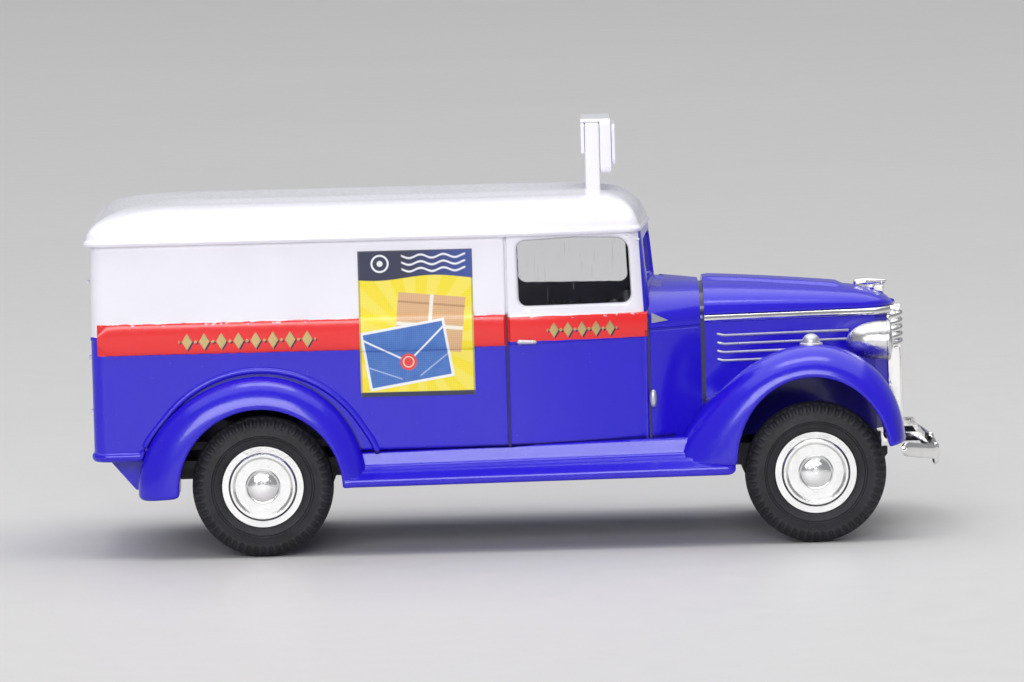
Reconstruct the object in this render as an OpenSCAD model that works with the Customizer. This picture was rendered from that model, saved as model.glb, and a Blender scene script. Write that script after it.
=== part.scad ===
// Mail delivery truck: a die-cast scale model of a late-1930s panel van.
// Millimetres.  +X is the front, +Y the truck's left side, +Z up.
// Every module below is drawn with X = 0 midway between the axles and Z = 0 on the ground; place()
// then moves the whole truck so that the origin is the bottom centre of its bounding box.

/* [Running gear] */
// Distance between the axles
wheelbase = 66; // [65:0.5:67]
// Outer radius of a tyre
tyre_r = 8.45; // [8.2:0.05:8.6]
// Width of a tyre
tyre_w = 4.2; // [3.8:0.1:4.4]
// From the centre plane to a tyre's outer face
wheel_face_y = 19.4; // [19:0.1:19.6]
// Radius of the axle wire
axle_r = 0.8; // [0.7:0.05:0.9]
// Radial running clearance of an axle in its saddle
axle_clear = 0.06; // [0.03:0.01:0.09]

/* [Body] */
// X of the body's rear wall
rear_x = -53.1; // [-53.6:0.1:-52.8]
// Half the width of the cargo body
cargo_hw = 17.5; // [17.2:0.1:17.8]
// Height of the sill, where the body meets the running boards
sill_z = 12.3; // [12.2:0.05:12.5]
// Height of the roof's lower edge
eave_z = 37.5; // [37:0.1:38]
// Height of the roof's crown
crown_z = 42.1; // [41.6:0.1:42.4]
// Wall thickness of the body casting
wall = 1; // [0.8:0.05:1.2]

/* [Bonnet] */
// X of the joint between cowl and bonnet
cowl_x = 20; // [19.8:0.1:20.3]
// Half width of the bonnet at that joint
bonnet_hw = 11; // [10.6:0.1:11.3]
// Half width of the bonnet at the front, before the nose rounds off
nose_hw = 6.6; // [6.2:0.1:7]
// Height of the bonnet's lower edge
bonnet_z = 27; // [26.8:0.1:27.2]

/* [Fenders] */
// From the centre plane to the fenders' outer edge
fender_y = 20.4; // [20.2:0.1:20.6]
// Sheet thickness of the fenders
fender_t = 0.9; // [0.8:0.05:1]

/* [Hidden] */

$fn = 32;
right = -1;                       // side = -1 is the truck's right, +1 its left
left = 1;
front_axle_x = wheelbase / 2;
rear_axle_x = -wheelbase / 2;
bumper_x = 48.3;                  // foremost point of the bumper bar
roof_lip = 0.5;                   // how far the roof's edge stands out from the body
seam = 0.03;                      // hair-line gap between castings that lie against each other
origin_shift = -(rear_x - roof_lip + bumper_x + 0.3) / 2;

blue = [0.16, 0.10, 0.78];
white = [0.95, 0.94, 0.98];
chrome = [0.8, 0.8, 0.82];
silver = [0.75, 0.75, 0.8];
black = [0.08, 0.08, 0.09];
clear = [0.8, 0.9, 0.95, 0.4];
yellow = [0.95, 0.8, 0.1];

// ---------------------------------------------------------------- helpers

module place() translate([origin_shift, 0, 0]) children();

// A smooth casting: the convex skin over each pair of neighbouring rings of points.
module skin(rings) {
    n = len(rings[0]);
    for (i = [0 : len(rings) - 2])
        hull() polyhedron(points = concat(rings[i], rings[i + 1]),
            faces = [[for (k = [0 : n - 1]) k], [for (k = [n : 2 * n - 1]) k]]);
}

// A plate between two Y planes, outlined in X and Z.
module side_plate(points, y0, y1)
    translate([0, max(y0, y1), 0]) rotate([90, 0, 0])
        linear_extrude(abs(y1 - y0)) polygon(points);

// A round bar between two points.
module rod(a, b, r) {
    d = b - a;
    translate(a) rotate([0, acos(d[2] / norm(d)), atan2(d[1], d[0])]) cylinder(r = r, h = norm(d));
}

// A capsule-shaped bar between two points, with coarse ends.
module bar(a, b, r) hull() {
    translate(a) sphere(r, $fn = 10);
    translate(b) sphere(r, $fn = 10);
}

// ---------------------------------------------------------------- body outline

door_rear_x = -3.4;
door_front_x = 13.5;
screen_x = 14.1;                  // foremost point of the windscreen frame
taper_x = -5;                     // where the cargo body starts to narrow towards the cab

// Half width of the body at station x: parallel cargo body, cab that narrows, then the cowl.
function half_w(x) =
    x < taper_x ? cargo_hw
    : x < door_front_x ? cargo_hw - 2.4 * pow((x - taper_x) / (door_front_x - taper_x), 1.7)
    : cargo_hw - 2.4 - 4.1 * pow((x - door_front_x) / (cowl_x - door_front_x), 1.2);

// One half of the body's plan, from the rear to the windscreen, drawn in by "inset".
function half_plan(inset, r, front) = concat(
    [for (a = [0 : 22.5 : 90])
        [rear_x + inset + r * (1 - cos(a)), cargo_hw - inset - r * (1 - sin(a))]],
    [for (x = [taper_x : 3.6 : front - 3]) [x, half_w(x) - inset]],
    [for (a = [15 : 25 : 90])
        [front - 1 - inset - 2.2 * (1 - sin(a)), half_w(screen_x) - inset - 2.2 * (1 - cos(a))]]
);

// The whole plan as a ring at height z.  The windscreen bows forward in the middle.
function plan_ring(z, inset, r, front = screen_x) =
    let (h = half_plan(inset, r, front), n = len(h), middle = h[n - 1][0] + 0.08 * h[n - 1][1])
    concat([for (p = h) [p[0], p[1], z]], [[middle, 0, z]],
        [for (i = [n - 1 : -1 : 0]) [h[i][0], -h[i][1], z]]);

module body_solid(inset, z0, z1) skin([
    for (u = [0 : 0.25 : 1])
        let (z = z0 + (z1 - z0) * u, lean = max(0, (z - 26) / (eave_z - 26)))
        plan_ring(z, inset + 0.2 * lean, 1.6, screen_x + 0.9 * (1 - lean))
]);

// A cross-section of cowl or bonnet at station x: flat sides, then a domed top.
function dome_ring(x, hw, z0, z_side, z_top) = concat(
    [[x, hw, z0]],
    [for (a = [0 : 15 : 180])
        [x, hw * sign(cos(a)) * pow(abs(cos(a)), 0.85), z_side + (z_top - z_side) * pow(sin(a), 0.9)]],
    [[x, -hw, z0]]
);

// The cowl runs from inside the cab to the bonnet's joint.
cowl_back_x = 9;
module cowl(inset, z0) skin([
    for (u = [0 : 0.2 : 1])
        let (x = cowl_back_x + (cowl_x - 0.2 - cowl_back_x) * u)
        dome_ring(x, half_w(max(x, door_front_x)) - inset, z0, 26.4 - inset, 31.5 - 0.1 * (x - 9) - inset)
]);

// ---------------------------------------------------------------- wheel arches

// Radius of a fender's opening and of its crown at angle a round the arch's centre.  Angle 0 points
// forward and 90 up.  The rear fender is nearly round; the front one sweeps back to the board.
rear_arch = [rear_axle_x - 0.2, 8.05];
front_arch = [front_axle_x - 0.2, 9.5];
function rear_open(a) = 9.75;
function rear_crown(a) = 13.6 - 0.9 * pow(max(cos(a), 0), 2) + 1.1 * pow(max(-cos(a), 0), 4);
function front_open(a) = 9.15 + 1.3 * pow(sin(a), 2);
function front_crown(a) = a < 90 ? 14.05 - 2.8 * pow(cos(a), 2.5)
    : 14.05 - 0.3 * sin(2 * (a - 90)) + (a > 125 ? 2 * pow((a - 125) / 45, 2) : 0);

// A fender's section at angle a: a quarter ellipse from the opening's edge over to the crown, then
// down to the inner edge.  "t" draws it in by the sheet thickness.
function fender_ring(c, a, open, crown, crown_y, inner_y, drop, t) =
    let (lip = open - (t > 0 ? 1.5 : 0), top = crown - t, y_out = fender_y - t,
        section = concat(
            [for (b = [0 : 15 : 90])
                [open + (top - open) * sin(b), crown_y + (y_out - crown_y) * cos(b)]],
            [[top - drop, inner_y - t], [lip, inner_y - t], [lip, y_out]]))
    [for (p = section) [c[0] + p[0] * cos(a), -p[1], c[1] + p[0] * sin(a)]];

module rear_fender(t, a0, a1) skin([
    for (a = [a0 : (a1 - a0) / 14 : a1 + 0.1])
        fender_ring(rear_arch, a, rear_open(a), rear_crown(a), 17.4, 14.4, 0, t)
]);

module front_fender(t, a0, a1) skin([
    for (a = [a0 : (a1 - a0) / 14 : a1 + 0.1])
        fender_ring(front_arch, a, front_open(a), front_crown(a), 15.8, 9.6, a > 140 ? 0 : 2.4, t)
]);

// The running board: upright valance, rib, sloping tread and outer lip.
board_x0 = -22.8;
board_x1 = 23;
board_profile = [[-13.5, 8.3], [-13.5, 12.1], [-17, 12.15], [-17.45, 11.9], [-17.7, 10.6], [-18.1, 10.25],
    [-18.9, 9.95], [-20.1, 9.3], [-20.4, 9], [-20.4, 8.4], [-20.2, 8.2], [-14.5, 8.2]];
function board_ring(x, rise) = [for (p = board_profile) [x, p[0], p[1] + rise]];

// ---------------------------------------------------------------- castings

// Rounded window opening in the doors, as a plate between two Y planes.
module door_opening(y0, y1, grow = 0) hull() {
    for (p = [[-0.9, 30.1, 1], [10.5, 30.1, 1], [9.7, 35.3, 1.6], [5, 35.6, 1.5], [-1, 35.9, 1]])
        translate([p[0], max(y0, y1), p[1]]) rotate([90, 0, 0])
            cylinder(r = p[2] + grow, h = abs(y1 - y0), $fn = 24);
}

module windscreen_opening(x0, x1, grow = 0) for (s = [right, left]) hull()
    for (p = [[1.34, 31.97], [11.6, 31.6], [11.2, 35.2], [1.34, 35.6]])
        translate([x0, s * p[0], p[1]]) rotate([0, 90, 0])
            cylinder(r = 0.8 + grow, h = x1 - x0, $fn = 20);

module rear_opening(x0, x1, grow = 0) for (s = [right, left]) hull()
    for (y = [2.6, 7.4], z = [31, 34.2])
        translate([x0, s * y, z]) rotate([0, 90, 0]) cylinder(r = 0.8 + grow, h = x1 - x0, $fn = 24);

// Shut lines of the side doors and of the two rear doors.
module shut_lines() {
    groove = 0.5;
    depth = 0.35;
    for (s = [right, left]) {
        translate([door_rear_x - groove / 2, s * cargo_hw - (s > 0 ? depth : 1), 12])
            cube([groove, 1 + depth, 26]);
        translate([door_front_x - groove / 2, s * 15.2 - 0.6, 12]) cube([groove, 1.2, 14.2]);
    }
    for (y = [-13, 0, 13]) translate([rear_x - 1, y - 0.2, 13.8]) cube([1 + depth, 0.4, 22.4]);
    for (z = [14, 36]) translate([rear_x - 1, -13, z - 0.2]) cube([1 + depth, 26, 0.4]);
}

// Belt moulding: a shallow convex band along each side, from the rear corner to the door's front.
belt_z = 26.35;
function belt_half(x) = 1.87 - 0.4 * max(0, (x - taper_x) / (door_front_x - taper_x));
function belt_ring(x, grow) = let (y = half_w(x) + grow, h = belt_half(x) + grow) concat(
    [[x, y - 0.8, belt_z - h]],
    [for (a = [0 : 30 : 180]) [x, y + 0.07 + 0.3 * sin(a), belt_z - h * cos(a)]],
    [[x, y - 0.8, belt_z + h]]
);
module belts(grow) for (s = [0, 1]) mirror([0, s, 0])
    skin([for (x = [rear_x + 1.1, taper_x, 0, 5, 9.5, door_front_x - 0.1]) belt_ring(x, grow)]);

// Half-round mouldings on the body: the rear lip and the bead over each rear fender.
module mouldings() {
    for (s = [right, left]) {
        translate([rear_arch[0], s * (cargo_hw - 0.1), rear_arch[1]]) rotate([90, 0, 0])
            rotate_extrude(angle = 140, start = 20, $fn = 72) translate([14.3, 0]) circle(r = 0.4, $fn = 8);
        bar([rear_x + 0.6, s * (cargo_hw - 0.2), sill_z], [-47.4, s * (cargo_hw - 0.2), sill_z], 0.6);
    }
    bar([rear_x + 0.3, -16.8, sill_z], [rear_x + 0.3, 16.8, sill_z], 0.6);
    bar([rear_x + 0.2, -16.6, 26.4], [rear_x + 0.2, 16.6, 26.4], 0.45);
}

// Main casting: cargo body, cab sides, windscreen frame and cowl, open underneath.
module body_shell() place() color(blue) difference() {
    union() {
        body_solid(0, sill_z, eave_z);
        cowl(0, sill_z);
        belts(0);
        mouldings();
    }
    body_solid(wall, sill_z - 1, eave_z + 1);
    cowl(wall, sill_z - 1);
    for (s = [right, left]) {
        door_opening(s * 12, s * 19);
        translate([rear_arch[0], s * 18, rear_arch[1]]) rotate([90, 0, 0])
            cylinder(r = 13.5, h = 8, center = true, $fn = 48);
    }
    windscreen_opening(12, 17);
    rear_opening(rear_x - 1, rear_x + 2);
    shut_lines();
}

// Roof casting: a domed cap with a rolled lip, flush with the windscreen frame in front.
roof_front_x = 13.4;
module roof_dome(inset, z0, top) skin(concat(
    [plan_ring(z0, inset - roof_lip, 1.8, roof_front_x)],
    [for (a = [0 : 18 : 90])
        plan_ring(eave_z + 0.8 + (top - eave_z - 1.1) * sin(a),
            inset - roof_lip + 0.2 + 7.8 * (1 - cos(a)), 2 + 4 * (1 - cos(a)), roof_front_x)],
    [plan_ring(top, inset + 13, 4, roof_front_x)]
));

module roof_panel() place() color(white) difference() {
    roof_dome(0, eave_z, crown_z);
    translate([0, 0, -0.01]) roof_dome(roof_lip + wall, eave_z, crown_z - wall);
}

// Bonnet casting: a domed lid whose nose rounds off in front and in plan.
bonnet_front_x = 43.6;
function bonnet_w(x) = let (u = (x - cowl_x) / (bonnet_front_x - cowl_x))
    (bonnet_hw + (nose_hw - bonnet_hw) * u) * pow(max(1 - pow(u, 12), 0.02), 0.5);
function bonnet_top(x) = let (u = (x - cowl_x) / (bonnet_front_x - cowl_x))
    30.6 - 1.9 * pow(u, 1.3) - 1.9 * pow(u, 14);

module bonnet_solid(inset, drop) skin([
    for (u = [0, 0.2, 0.4, 0.6, 0.75, 0.85, 0.92, 0.96, 0.985, 1])
        let (x = cowl_x + 0.3 + inset + (bonnet_front_x - cowl_x - 0.3 - 2 * inset) * u)
        dome_ring(x, bonnet_w(x) - inset, bonnet_z - drop, bonnet_z + 0.2 - inset / 2,
            bonnet_top(x) - inset)
]);

module bonnet() place() color(blue) difference() {
    bonnet_solid(0, 0);
    bonnet_solid(0.9, 1);
}

// Engine-bay casting under the bonnet: both sides and the radiator wall, open underneath.
nose_front_x = 42.4;
nose_slope = (bonnet_hw - nose_hw) / (bonnet_front_x - cowl_x);
function nose_w(x) = bonnet_hw - 0.35 - nose_slope * (x - cowl_x);
module nose_solid(inset, z0, z1) translate([0, 0, z0]) linear_extrude(z1 - z0) polygon(concat(
    [for (s = [right, left]) [cowl_x + 0.1 + inset, s * (nose_w(cowl_x) - inset)]],
    [for (s = [left, right]) for (p = s > 0 ? [[1.5, 0], [0, 1.7]] : [[0, 1.7], [1.5, 0]])
        [nose_front_x - p[0] - inset, s * (nose_w(nose_front_x - p[0]) - p[1] - inset)]]
));

module nose_shell() place() color(blue) difference() {
    nose_solid(0, sill_z, bonnet_z - 0.02);
    nose_solid(wall, sill_z - 1, bonnet_z + 1);
}

// One side's fender and running-board casting, clear of the body by a hair line.
module fender_set(side) place() color(blue) mirror([0, side > 0 ? 1 : 0, 0]) difference() {
    union() {
        rear_fender(0, -2, 184);
        front_fender(0, 12, 180);
        skin([board_ring(board_x0, 0), board_ring(board_x1, 0.35)]);
    }
    rear_fender(fender_t, 11, 167);
    front_fender(fender_t, 24, 162);
    body_solid(-seam, sill_z - seam, eave_z);
    mouldings();
    cowl(-seam, sill_z - seam);
    nose_solid(-seam, sill_z - 4, bonnet_z);
    for (c = [rear_arch, front_arch]) translate([c[0], -16.7, c[1]]) rotate([90, 0, 0])
        cylinder(r = 9, h = 6, center = true, $fn = 48);
}
module fender_set_right() fender_set(right);
module fender_set_left() fender_set(left);

// Blue apron that closes the tail between the two fender castings.
module rear_valance() place() color(blue) side_plate(
    [[-52, sill_z - seam], [-51.2, 11.4], [-48.3, 8], [-47.2, 8], [-47.2, sill_z - seam]], -14.2, 14.2);

// ---------------------------------------------------------------- underside and interior

base_z = 10.2;
base_t = 1;
rail_y = 8.6;
screw_x = [-14, 11];

// A semi-elliptic leaf spring moulded on the base, as a plate in X and Z.
spring_half = 9;
spring_y = 9.4;
module leaf_spring(x) for (s = [right, left]) side_plate(concat(
    [[x + spring_half, base_z + 0.1]],
    [for (a = [0 : 15 : 180]) [x + spring_half * cos(a), base_z - 0.7 - 1.5 * sin(a)]],
    [[x - spring_half, base_z + 0.1]]), s * spring_y, s * (spring_y - 1.4));

// Black base: floor, rails, springs, saddles that the axles turn in, engine sump, shaft and exhaust.
module base_plate() place() color(black) difference() {
    union() {
        translate([-46.9, -13.3, base_z]) cube([61.9, 26.6, base_t]);
        translate([14.9, -9.4, base_z]) cube([26.4, 18.8, base_t]);
        for (s = [right, left])
            translate([-46, s * rail_y - 0.8, base_z - 1.6]) cube([86.5, 1.6, 1.7]);
        for (x = [rear_axle_x, front_axle_x]) {
            leaf_spring(x);
            for (s = [right, left]) translate([x - 1.9, s * rail_y - 1.1, tyre_r - 1.5])
                cube([3.8, 2.2, base_z - tyre_r + 1.6]);
        }
        for (x = [-46, -22, -5, 24, 39.5])
            translate([x, -rail_y, base_z - 1.1]) cube([1.2, 2 * rail_y, 1.2]);
        translate([25.2, -3.6, base_z - 2.2]) cube([5.4, 7.2, 2.3]);
        translate([35.4, -3.2, base_z - 1.4]) cube([4, 6.4, 1.5]);
        rod([rear_axle_x + 2, 0, base_z - 0.6], [25.3, 0, base_z - 0.6], 0.8);
        rod([-44, -6, base_z - 0.4], [18, -6, base_z - 0.4], 0.6);
        rod([-12, -6, base_z - 0.3], [2, -6, base_z - 0.3], 1.3);
        translate([rear_axle_x, 0, tyre_r]) rotate([90, 0, 0]) cylinder(r = 2.2, h = 3, center = true);
        translate([rear_axle_x - 1.2, -1.5, tyre_r]) cube([2.4, 3, base_z - tyre_r + 0.1]);
    }
    for (x = [rear_axle_x, front_axle_x]) translate([x, 0, tyre_r]) rotate([90, 0, 0])
        cylinder(r = axle_r + axle_clear, h = 30, center = true);
    for (x = screw_x) translate([x, 3, base_z - 1]) cylinder(r = 0.8, h = 3);
}

// Two self-tapping screws that hold the base to the interior's bosses.
module base_screws() place() color(silver) for (x = screw_x) translate([x, 3, base_z - 0.7])
    difference() {
        union() {
            cylinder(r = 1.4, h = 0.68);
            cylinder(r = 0.7, h = 4.4);
        }
        for (a = [0, 90]) rotate([0, 0, a]) translate([-0.9, -0.15, -0.1]) cube([1.8, 0.3, 0.45]);
    }

// Black interior: floor, bench seat with back, and screw bosses.
module interior_moulding() place() color(black) difference() {
    union() {
        translate([-45, -12.8, 12.5]) cube([58, 25.6, 0.9]);
        translate([-1.5, -12, 13.3]) cube([7, 24, 5.2]);
        for (y = [-11.8, 0.2]) hull() {
            translate([-0.8, y, 18]) rotate([-90, 0, 0]) cylinder(r = 0.9, h = 11.6);
            translate([4.6, y, 18]) rotate([-90, 0, 0]) cylinder(r = 0.9, h = 11.6);
        }
        for (y = [-11.8, 0.2]) hull() {
            translate([-1.4, y, 18]) rotate([-90, 0, 0]) cylinder(r = 0.9, h = 11.6);
            translate([-2.8, y, 26.4]) rotate([-90, 0, 0]) cylinder(r = 0.9, h = 11.6);
        }
        for (x = screw_x) translate([x, 3, base_z + base_t + 0.02]) cylinder(r = 1.5, h = 3);
    }
    for (x = screw_x) translate([x, 3, base_z]) cylinder(r = 0.7, h = 3.9);
}

module dashboard() place() color(black) hull() {
    for (p = [[11.4, 27.6, 0.6], [11.2, 24.6, 0.5], [12.1, 26.6, 0.5]])
        translate([p[0], 0, p[1]]) rotate([90, 0, 0]) cylinder(r = p[2], h = 25.4, center = true);
}

steer_hub = [7.3, 7.2, 25.4];
steer_foot = [12, 7.2, 17];
steer_tilt = 35;                  // the wheel leans back from level by this angle

module steering_column() place() color(black) rod(
    steer_foot, steer_hub + 0.3 * (steer_foot - steer_hub) / norm(steer_foot - steer_hub), 0.4);

module steering_wheel() place() color(black) translate(steer_hub) rotate([0, -steer_tilt, 0]) {
    rotate_extrude() translate([3.2, 0]) circle(r = 0.3);
    translate([0, 0, -0.2]) cylinder(r = 0.8, h = 0.5);
    for (a = [90, 210, 330]) rotate([0, 90, a]) cylinder(r = 0.2, h = 3.1);
}

// Glazing: clear sheets lying against the inside of the walls.
module glass_sheet(low, high) place() color(clear) intersection() {
    difference() {
        body_solid(wall + seam, 27, eave_z);
        body_solid(wall + 0.45, 26, eave_z + 1);
    }
    translate(low) cube(high - low);
}
module windscreen_glazing() glass_sheet([12.3, -12.6, 29.9], [16, 12.6, 37]);
module door_window_right() glass_sheet([-2.8, -18, 28.4], [11.9, -8, 37.3]);
module door_window_left() glass_sheet([-2.8, 8, 28.4], [11.9, 18, 37.3]);
module rear_windows() place() color(clear) for (s = [right, left])
    translate([rear_x + wall + 0.25, s * 5 - 3.6, 29.6]) cube([0.4, 7.2, 6]);

// Printed picture sticker on each side of the cargo body, lying over the belt moulding.
poster_low = [-21, 18.75];
poster_high = [-7.35, 36.2];
module side_poster(side) place() color(yellow) intersection() {
    difference() {
        union() {
            body_solid(-0.12, sill_z, eave_z);
            belts(0.12);
        }
        body_solid(-seam, sill_z - 1, eave_z + 1);
        belts(seam);
    }
    translate([poster_low[0], side > 0 ? 15 : -20, poster_low[1]])
        cube([poster_high[0] - poster_low[0], 5, poster_high[1] - poster_low[1]]);
}
module side_poster_right() side_poster(right);
module side_poster_left() side_poster(left);

// ---------------------------------------------------------------- bright trim

// One wing of the grille: a flat bar that sweeps back on both sides.
module wing_bar(z) translate([0, 0, z - 0.25]) linear_extrude(0.5) polygon([
    [42.6, -4.1], [42.6, 4.1], [42.2, 6.6], [42.7, 6.9], [43.9, 4.4], [44.4, 0], [43.9, -4.4],
    [42.7, -6.9], [42.2, -6.6]]);

// Grille: frame, slats, wings that wrap round the nose, and centre rib.
module grille() place() color(chrome) {
    translate([nose_front_x + seam, -4.3, 12.4]) cube([0.5, 8.6, 14.3]);
    for (s = [right, left])
        translate([nose_front_x + seam, s * 4.2 - 0.3, 12.3]) cube([1.6, 0.6, 9.6]);
    for (z = [22.3 : 0.85 : 26]) wing_bar(z);
    for (z = [13.3 : 0.8 : 21.6])
        translate([43.7, 0, z]) rotate([90, 0, 0]) cylinder(r = 0.2, h = 8.6, center = true);
    translate([42.8, -0.3, 12.4]) cube([1.6, 0.6, 14.3]);
    translate([nose_front_x + seam, -4.6, 12]) cube([1.8, 9.2, 0.8]);
}

lamp = [42.4, 11, 23.35];         // centre of the left headlamp's rim
lamp_r = 2.33;
lens_r = 1.9;

module headlamp(side) place() color(chrome) translate([lamp[0], side * lamp[1], lamp[2]])
    difference() {
        union() {
            rotate([0, 90, 0]) rotate_extrude() polygon(concat(
                [[0, 0.2], [2.1, 0.2], [lamp_r, -0.3]],
                [for (a = [0 : 15 : 90]) [lamp_r * cos(a), -1 - 4.1 * sin(a)]]));
            rod([-2, -side * 2, 0], [-2, -side * 4, 0], 0.55);
        }
        translate([-0.35, 0, 0]) rotate([0, 90, 0]) cylinder(r = lens_r, h = 1);
    }
module headlamp_right() headlamp(right);
module headlamp_left() headlamp(left);

module headlamp_lens(side) place() color(clear) translate([lamp[0], side * lamp[1], lamp[2]])
    rotate([0, 90, 0]) rotate_extrude() polygon(concat([[0, -0.33]], [[lens_r - seam, -0.33]],
        [for (a = [0 : 15 : 90]) [(lens_r - seam) * cos(a), 0.1 + 0.35 * sin(a)]]));
module headlamp_lens_right() headlamp_lens(right);
module headlamp_lens_left() headlamp_lens(left);

// Parking lamp: a small bright dome on the crown of each front fender.
module fender_lamp(side) place() color(silver) mirror([0, side > 0 ? 1 : 0, 0]) difference() {
    translate([front_axle_x - 0.1, -15.4, 23.5]) sphere(r = 1.15, $fn = 20);
    front_fender(-seam, 12, 180);
    translate([30, -18, 21]) cube([6, 6, 1.9]);
}
module fender_lamp_right() fender_lamp(right);
module fender_lamp_left() fender_lamp(left);

// Ornament along the top of the bonnet's nose: flat bar, ribbed lobe and stem.
module bonnet_ornament() place() color(chrome) difference() {
    union() {
        hull() {
            translate([39.2, 0, 29.35]) sphere(r = 0.5, $fn = 14);
            translate([42.6, 0, 29.65]) sphere(r = 0.25, $fn = 14);
        }
        hull() {
            translate([39.3, 0, 29.2]) sphere(r = 0.6, $fn = 14);
            translate([40.6, 0, 28.9]) sphere(r = 0.5, $fn = 14);
        }
        rod([42.2, 0, 27.6], [42.2, 0, 29.5], 0.3);
        translate([39, -0.35, 28]) cube([3.4, 0.7, 1.2]);
    }
    bonnet_solid(-seam, 0);
}

// Bright moulding under the bonnet's edge.
function strip_ring(x) = let (y = nose_w(x) + seam)
    [[x, y, 26], [x, y + 0.45, 26.2], [x, y + 0.3, 26.95], [x, y, 26.95]];
module bonnet_strip(side) place() color(chrome) mirror([0, side > 0 ? 0 : 1, 0])
    skin([strip_ring(cowl_x + 0.3), strip_ring(nose_front_x - 1.6)]);
module bonnet_strip_right() bonnet_strip(right);
module bonnet_strip_left() bonnet_strip(left);

// Four bright ribs along each side of the engine bay.
module louvre_trim(side) place() color(silver) mirror([0, side > 0 ? 0 : 1, 0])
    for (z = [21.3, 22.3, 23.3, 24.35])
        translate([22, nose_w(22) + seam, z - 0.17]) rotate([0, 0, -atan(nose_slope)])
            cube([z > 23 ? 14 : 9, 0.25, 0.34]);
module louvre_trim_right() louvre_trim(right);
module louvre_trim_left() louvre_trim(left);

// Small bright wedge on the cowl behind the bonnet's joint, lying on the curved metal.
module cowl_vent(side) place() color(silver) intersection() {
    difference() {
        cowl(-0.2, 20);
        cowl(-seam, 19);
    }
    side_plate([[13.9, 26.5], [15.9, 26.7], [13.9, 27.7]], side * 11, side * 18);
    translate([13.8, side > 0 ? 0 : -20, 20]) cube([4, 20, 12]);
}
module cowl_vent_right() cowl_vent(right);
module cowl_vent_left() cowl_vent(left);

module door_handles() place() color(silver) for (s = [right, left]) {
    bar([-1.9, s * 17.97, 24.9], [-0.3, s * 17.9, 24.9], 0.28);
    translate([-2.1, s * 17.85 - 0.13, 24.65]) cube([0.6, 0.26, 0.5]);
}

module door_hinges() place() color(silver) for (s = [right, left])
    translate([13.85, s * 15.62, 16.5]) cylinder(r = 0.36, h = 2);

module rear_door_handle() place() color(silver)
    translate([rear_x - 0.24, -0.9, 23]) cylinder(r = 0.2, h = 2.2);

module rear_door_hinges() place() color(silver) for (s = [right, left], z = [17.5, 24, 33])
    rod([rear_x - 0.24, s * 12.2, z], [rear_x - 0.24, s * 13.6, z], 0.2);

// Front bumper: a bar that bows in plan and dips in the middle.
bumper_hw = 17.6;
function bumper_point(y) = let (u = abs(y) / bumper_hw)
    [bumper_x - 4.8 * pow(u, 2.6), y, 8.75 + 2.1 * pow(u, 1.5)];
function bumper_ring(y) = let (c = bumper_point(y), h = abs(y) > bumper_hw - 1 ? 0.6 : 0.87)
    [for (p = [[-0.3, -0.8], [0.1, -1], [0.3, -0.4], [0.3, 0.4], [0.1, 1], [-0.3, 0.8]])
        [c[0] + p[0], y, c[2] + p[1] * h]];
module front_bumper() place() color(chrome)
    skin([for (u = [-1 : 0.125 : 1]) bumper_ring(u * bumper_hw)]);

// Two upright guards clasped on the bar.
guard_y = 6;
module bumper_guards() place() color(chrome) for (s = [right, left]) difference() {
    hull() for (z = [7.9, 10.1]) translate([47.7, s * guard_y, z]) {
        translate([-0.6, 0, 0]) cube([0.3, 1.1, 0.4], center = true);
        translate([0.55, 0, 0]) cube([0.4, 0.6, 0.2], center = true);
    }
    hull() for (y = [-0.8, 0.8]) translate(bumper_point(s * guard_y + y)) cube([0.66, 0.1, 1.8], center = true);
}

// Spring-steel arms that carry the bumper.
arm_y = 8.6;
module bumper_arms() place() color(chrome) for (s = [right, left]) {
    translate([41.4, s * arm_y - 0.25, 10.9]) cube([4.6, 0.5, 1.05]);
    hull() {
        translate([45.9, s * arm_y - 0.25, 10.9]) cube([0.1, 0.5, 1.05]);
        translate([47.0, s * arm_y - 0.25, 9.1]) cube([0.1, 0.5, 1.2]);
    }
}

// ---------------------------------------------------------------- roof sign

sign_hw = 5.4;
post_y = 4.5;
module sign_posts() place() color(white) difference() {
    for (s = [right, left]) hull() {
        translate([6.55, s * post_y - 0.8, 41]) cube([1.75, 1.6, 0.5]);
        translate([6.6, s * post_y - 0.8, 49.5]) cube([1.66, 1.6, 0.45]);
    }
    roof_dome(-seam, eave_z, crown_z + seam);
}

// A plate with rounded corners, standing across the roof.
module sign_plate(x0, x1, hw, z0, z1, r) hull() for (s = [right, left], z = [z0 + r, z1 - r])
    translate([x0, s * (hw - r), z]) rotate([0, 90, 0]) cylinder(r = r, h = x1 - x0, $fn = 24);

module sign_housing() place() color(white) {
    sign_plate(8.33, 9.72, sign_hw, 43.9, 50.45, 0.8);
    translate([6.05, 0.8 - sign_hw, 49.98]) cube([2.6, 2 * sign_hw - 1.6, 0.46]);
}
module sign_face_front() place() color(white) sign_plate(9.75, 10.2, sign_hw - 0.4, 44.85, 49.75, 0.7);
module sign_face_rear() place() color(white) sign_plate(6.07, 6.5, sign_hw - 0.3, 46.25, 49.95, 0.6);

// ---------------------------------------------------------------- wheels

hub_r = 5;                        // where the disc meets the tyre's bore
module axle(x) place() color(silver) translate([x, 0, tyre_r]) rotate([90, 0, 0])
    cylinder(r = axle_r, h = 2 * (wheel_face_y - 1.5), center = true);
module front_axle() axle(front_axle_x);
module rear_axle() axle(rear_axle_x);

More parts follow.
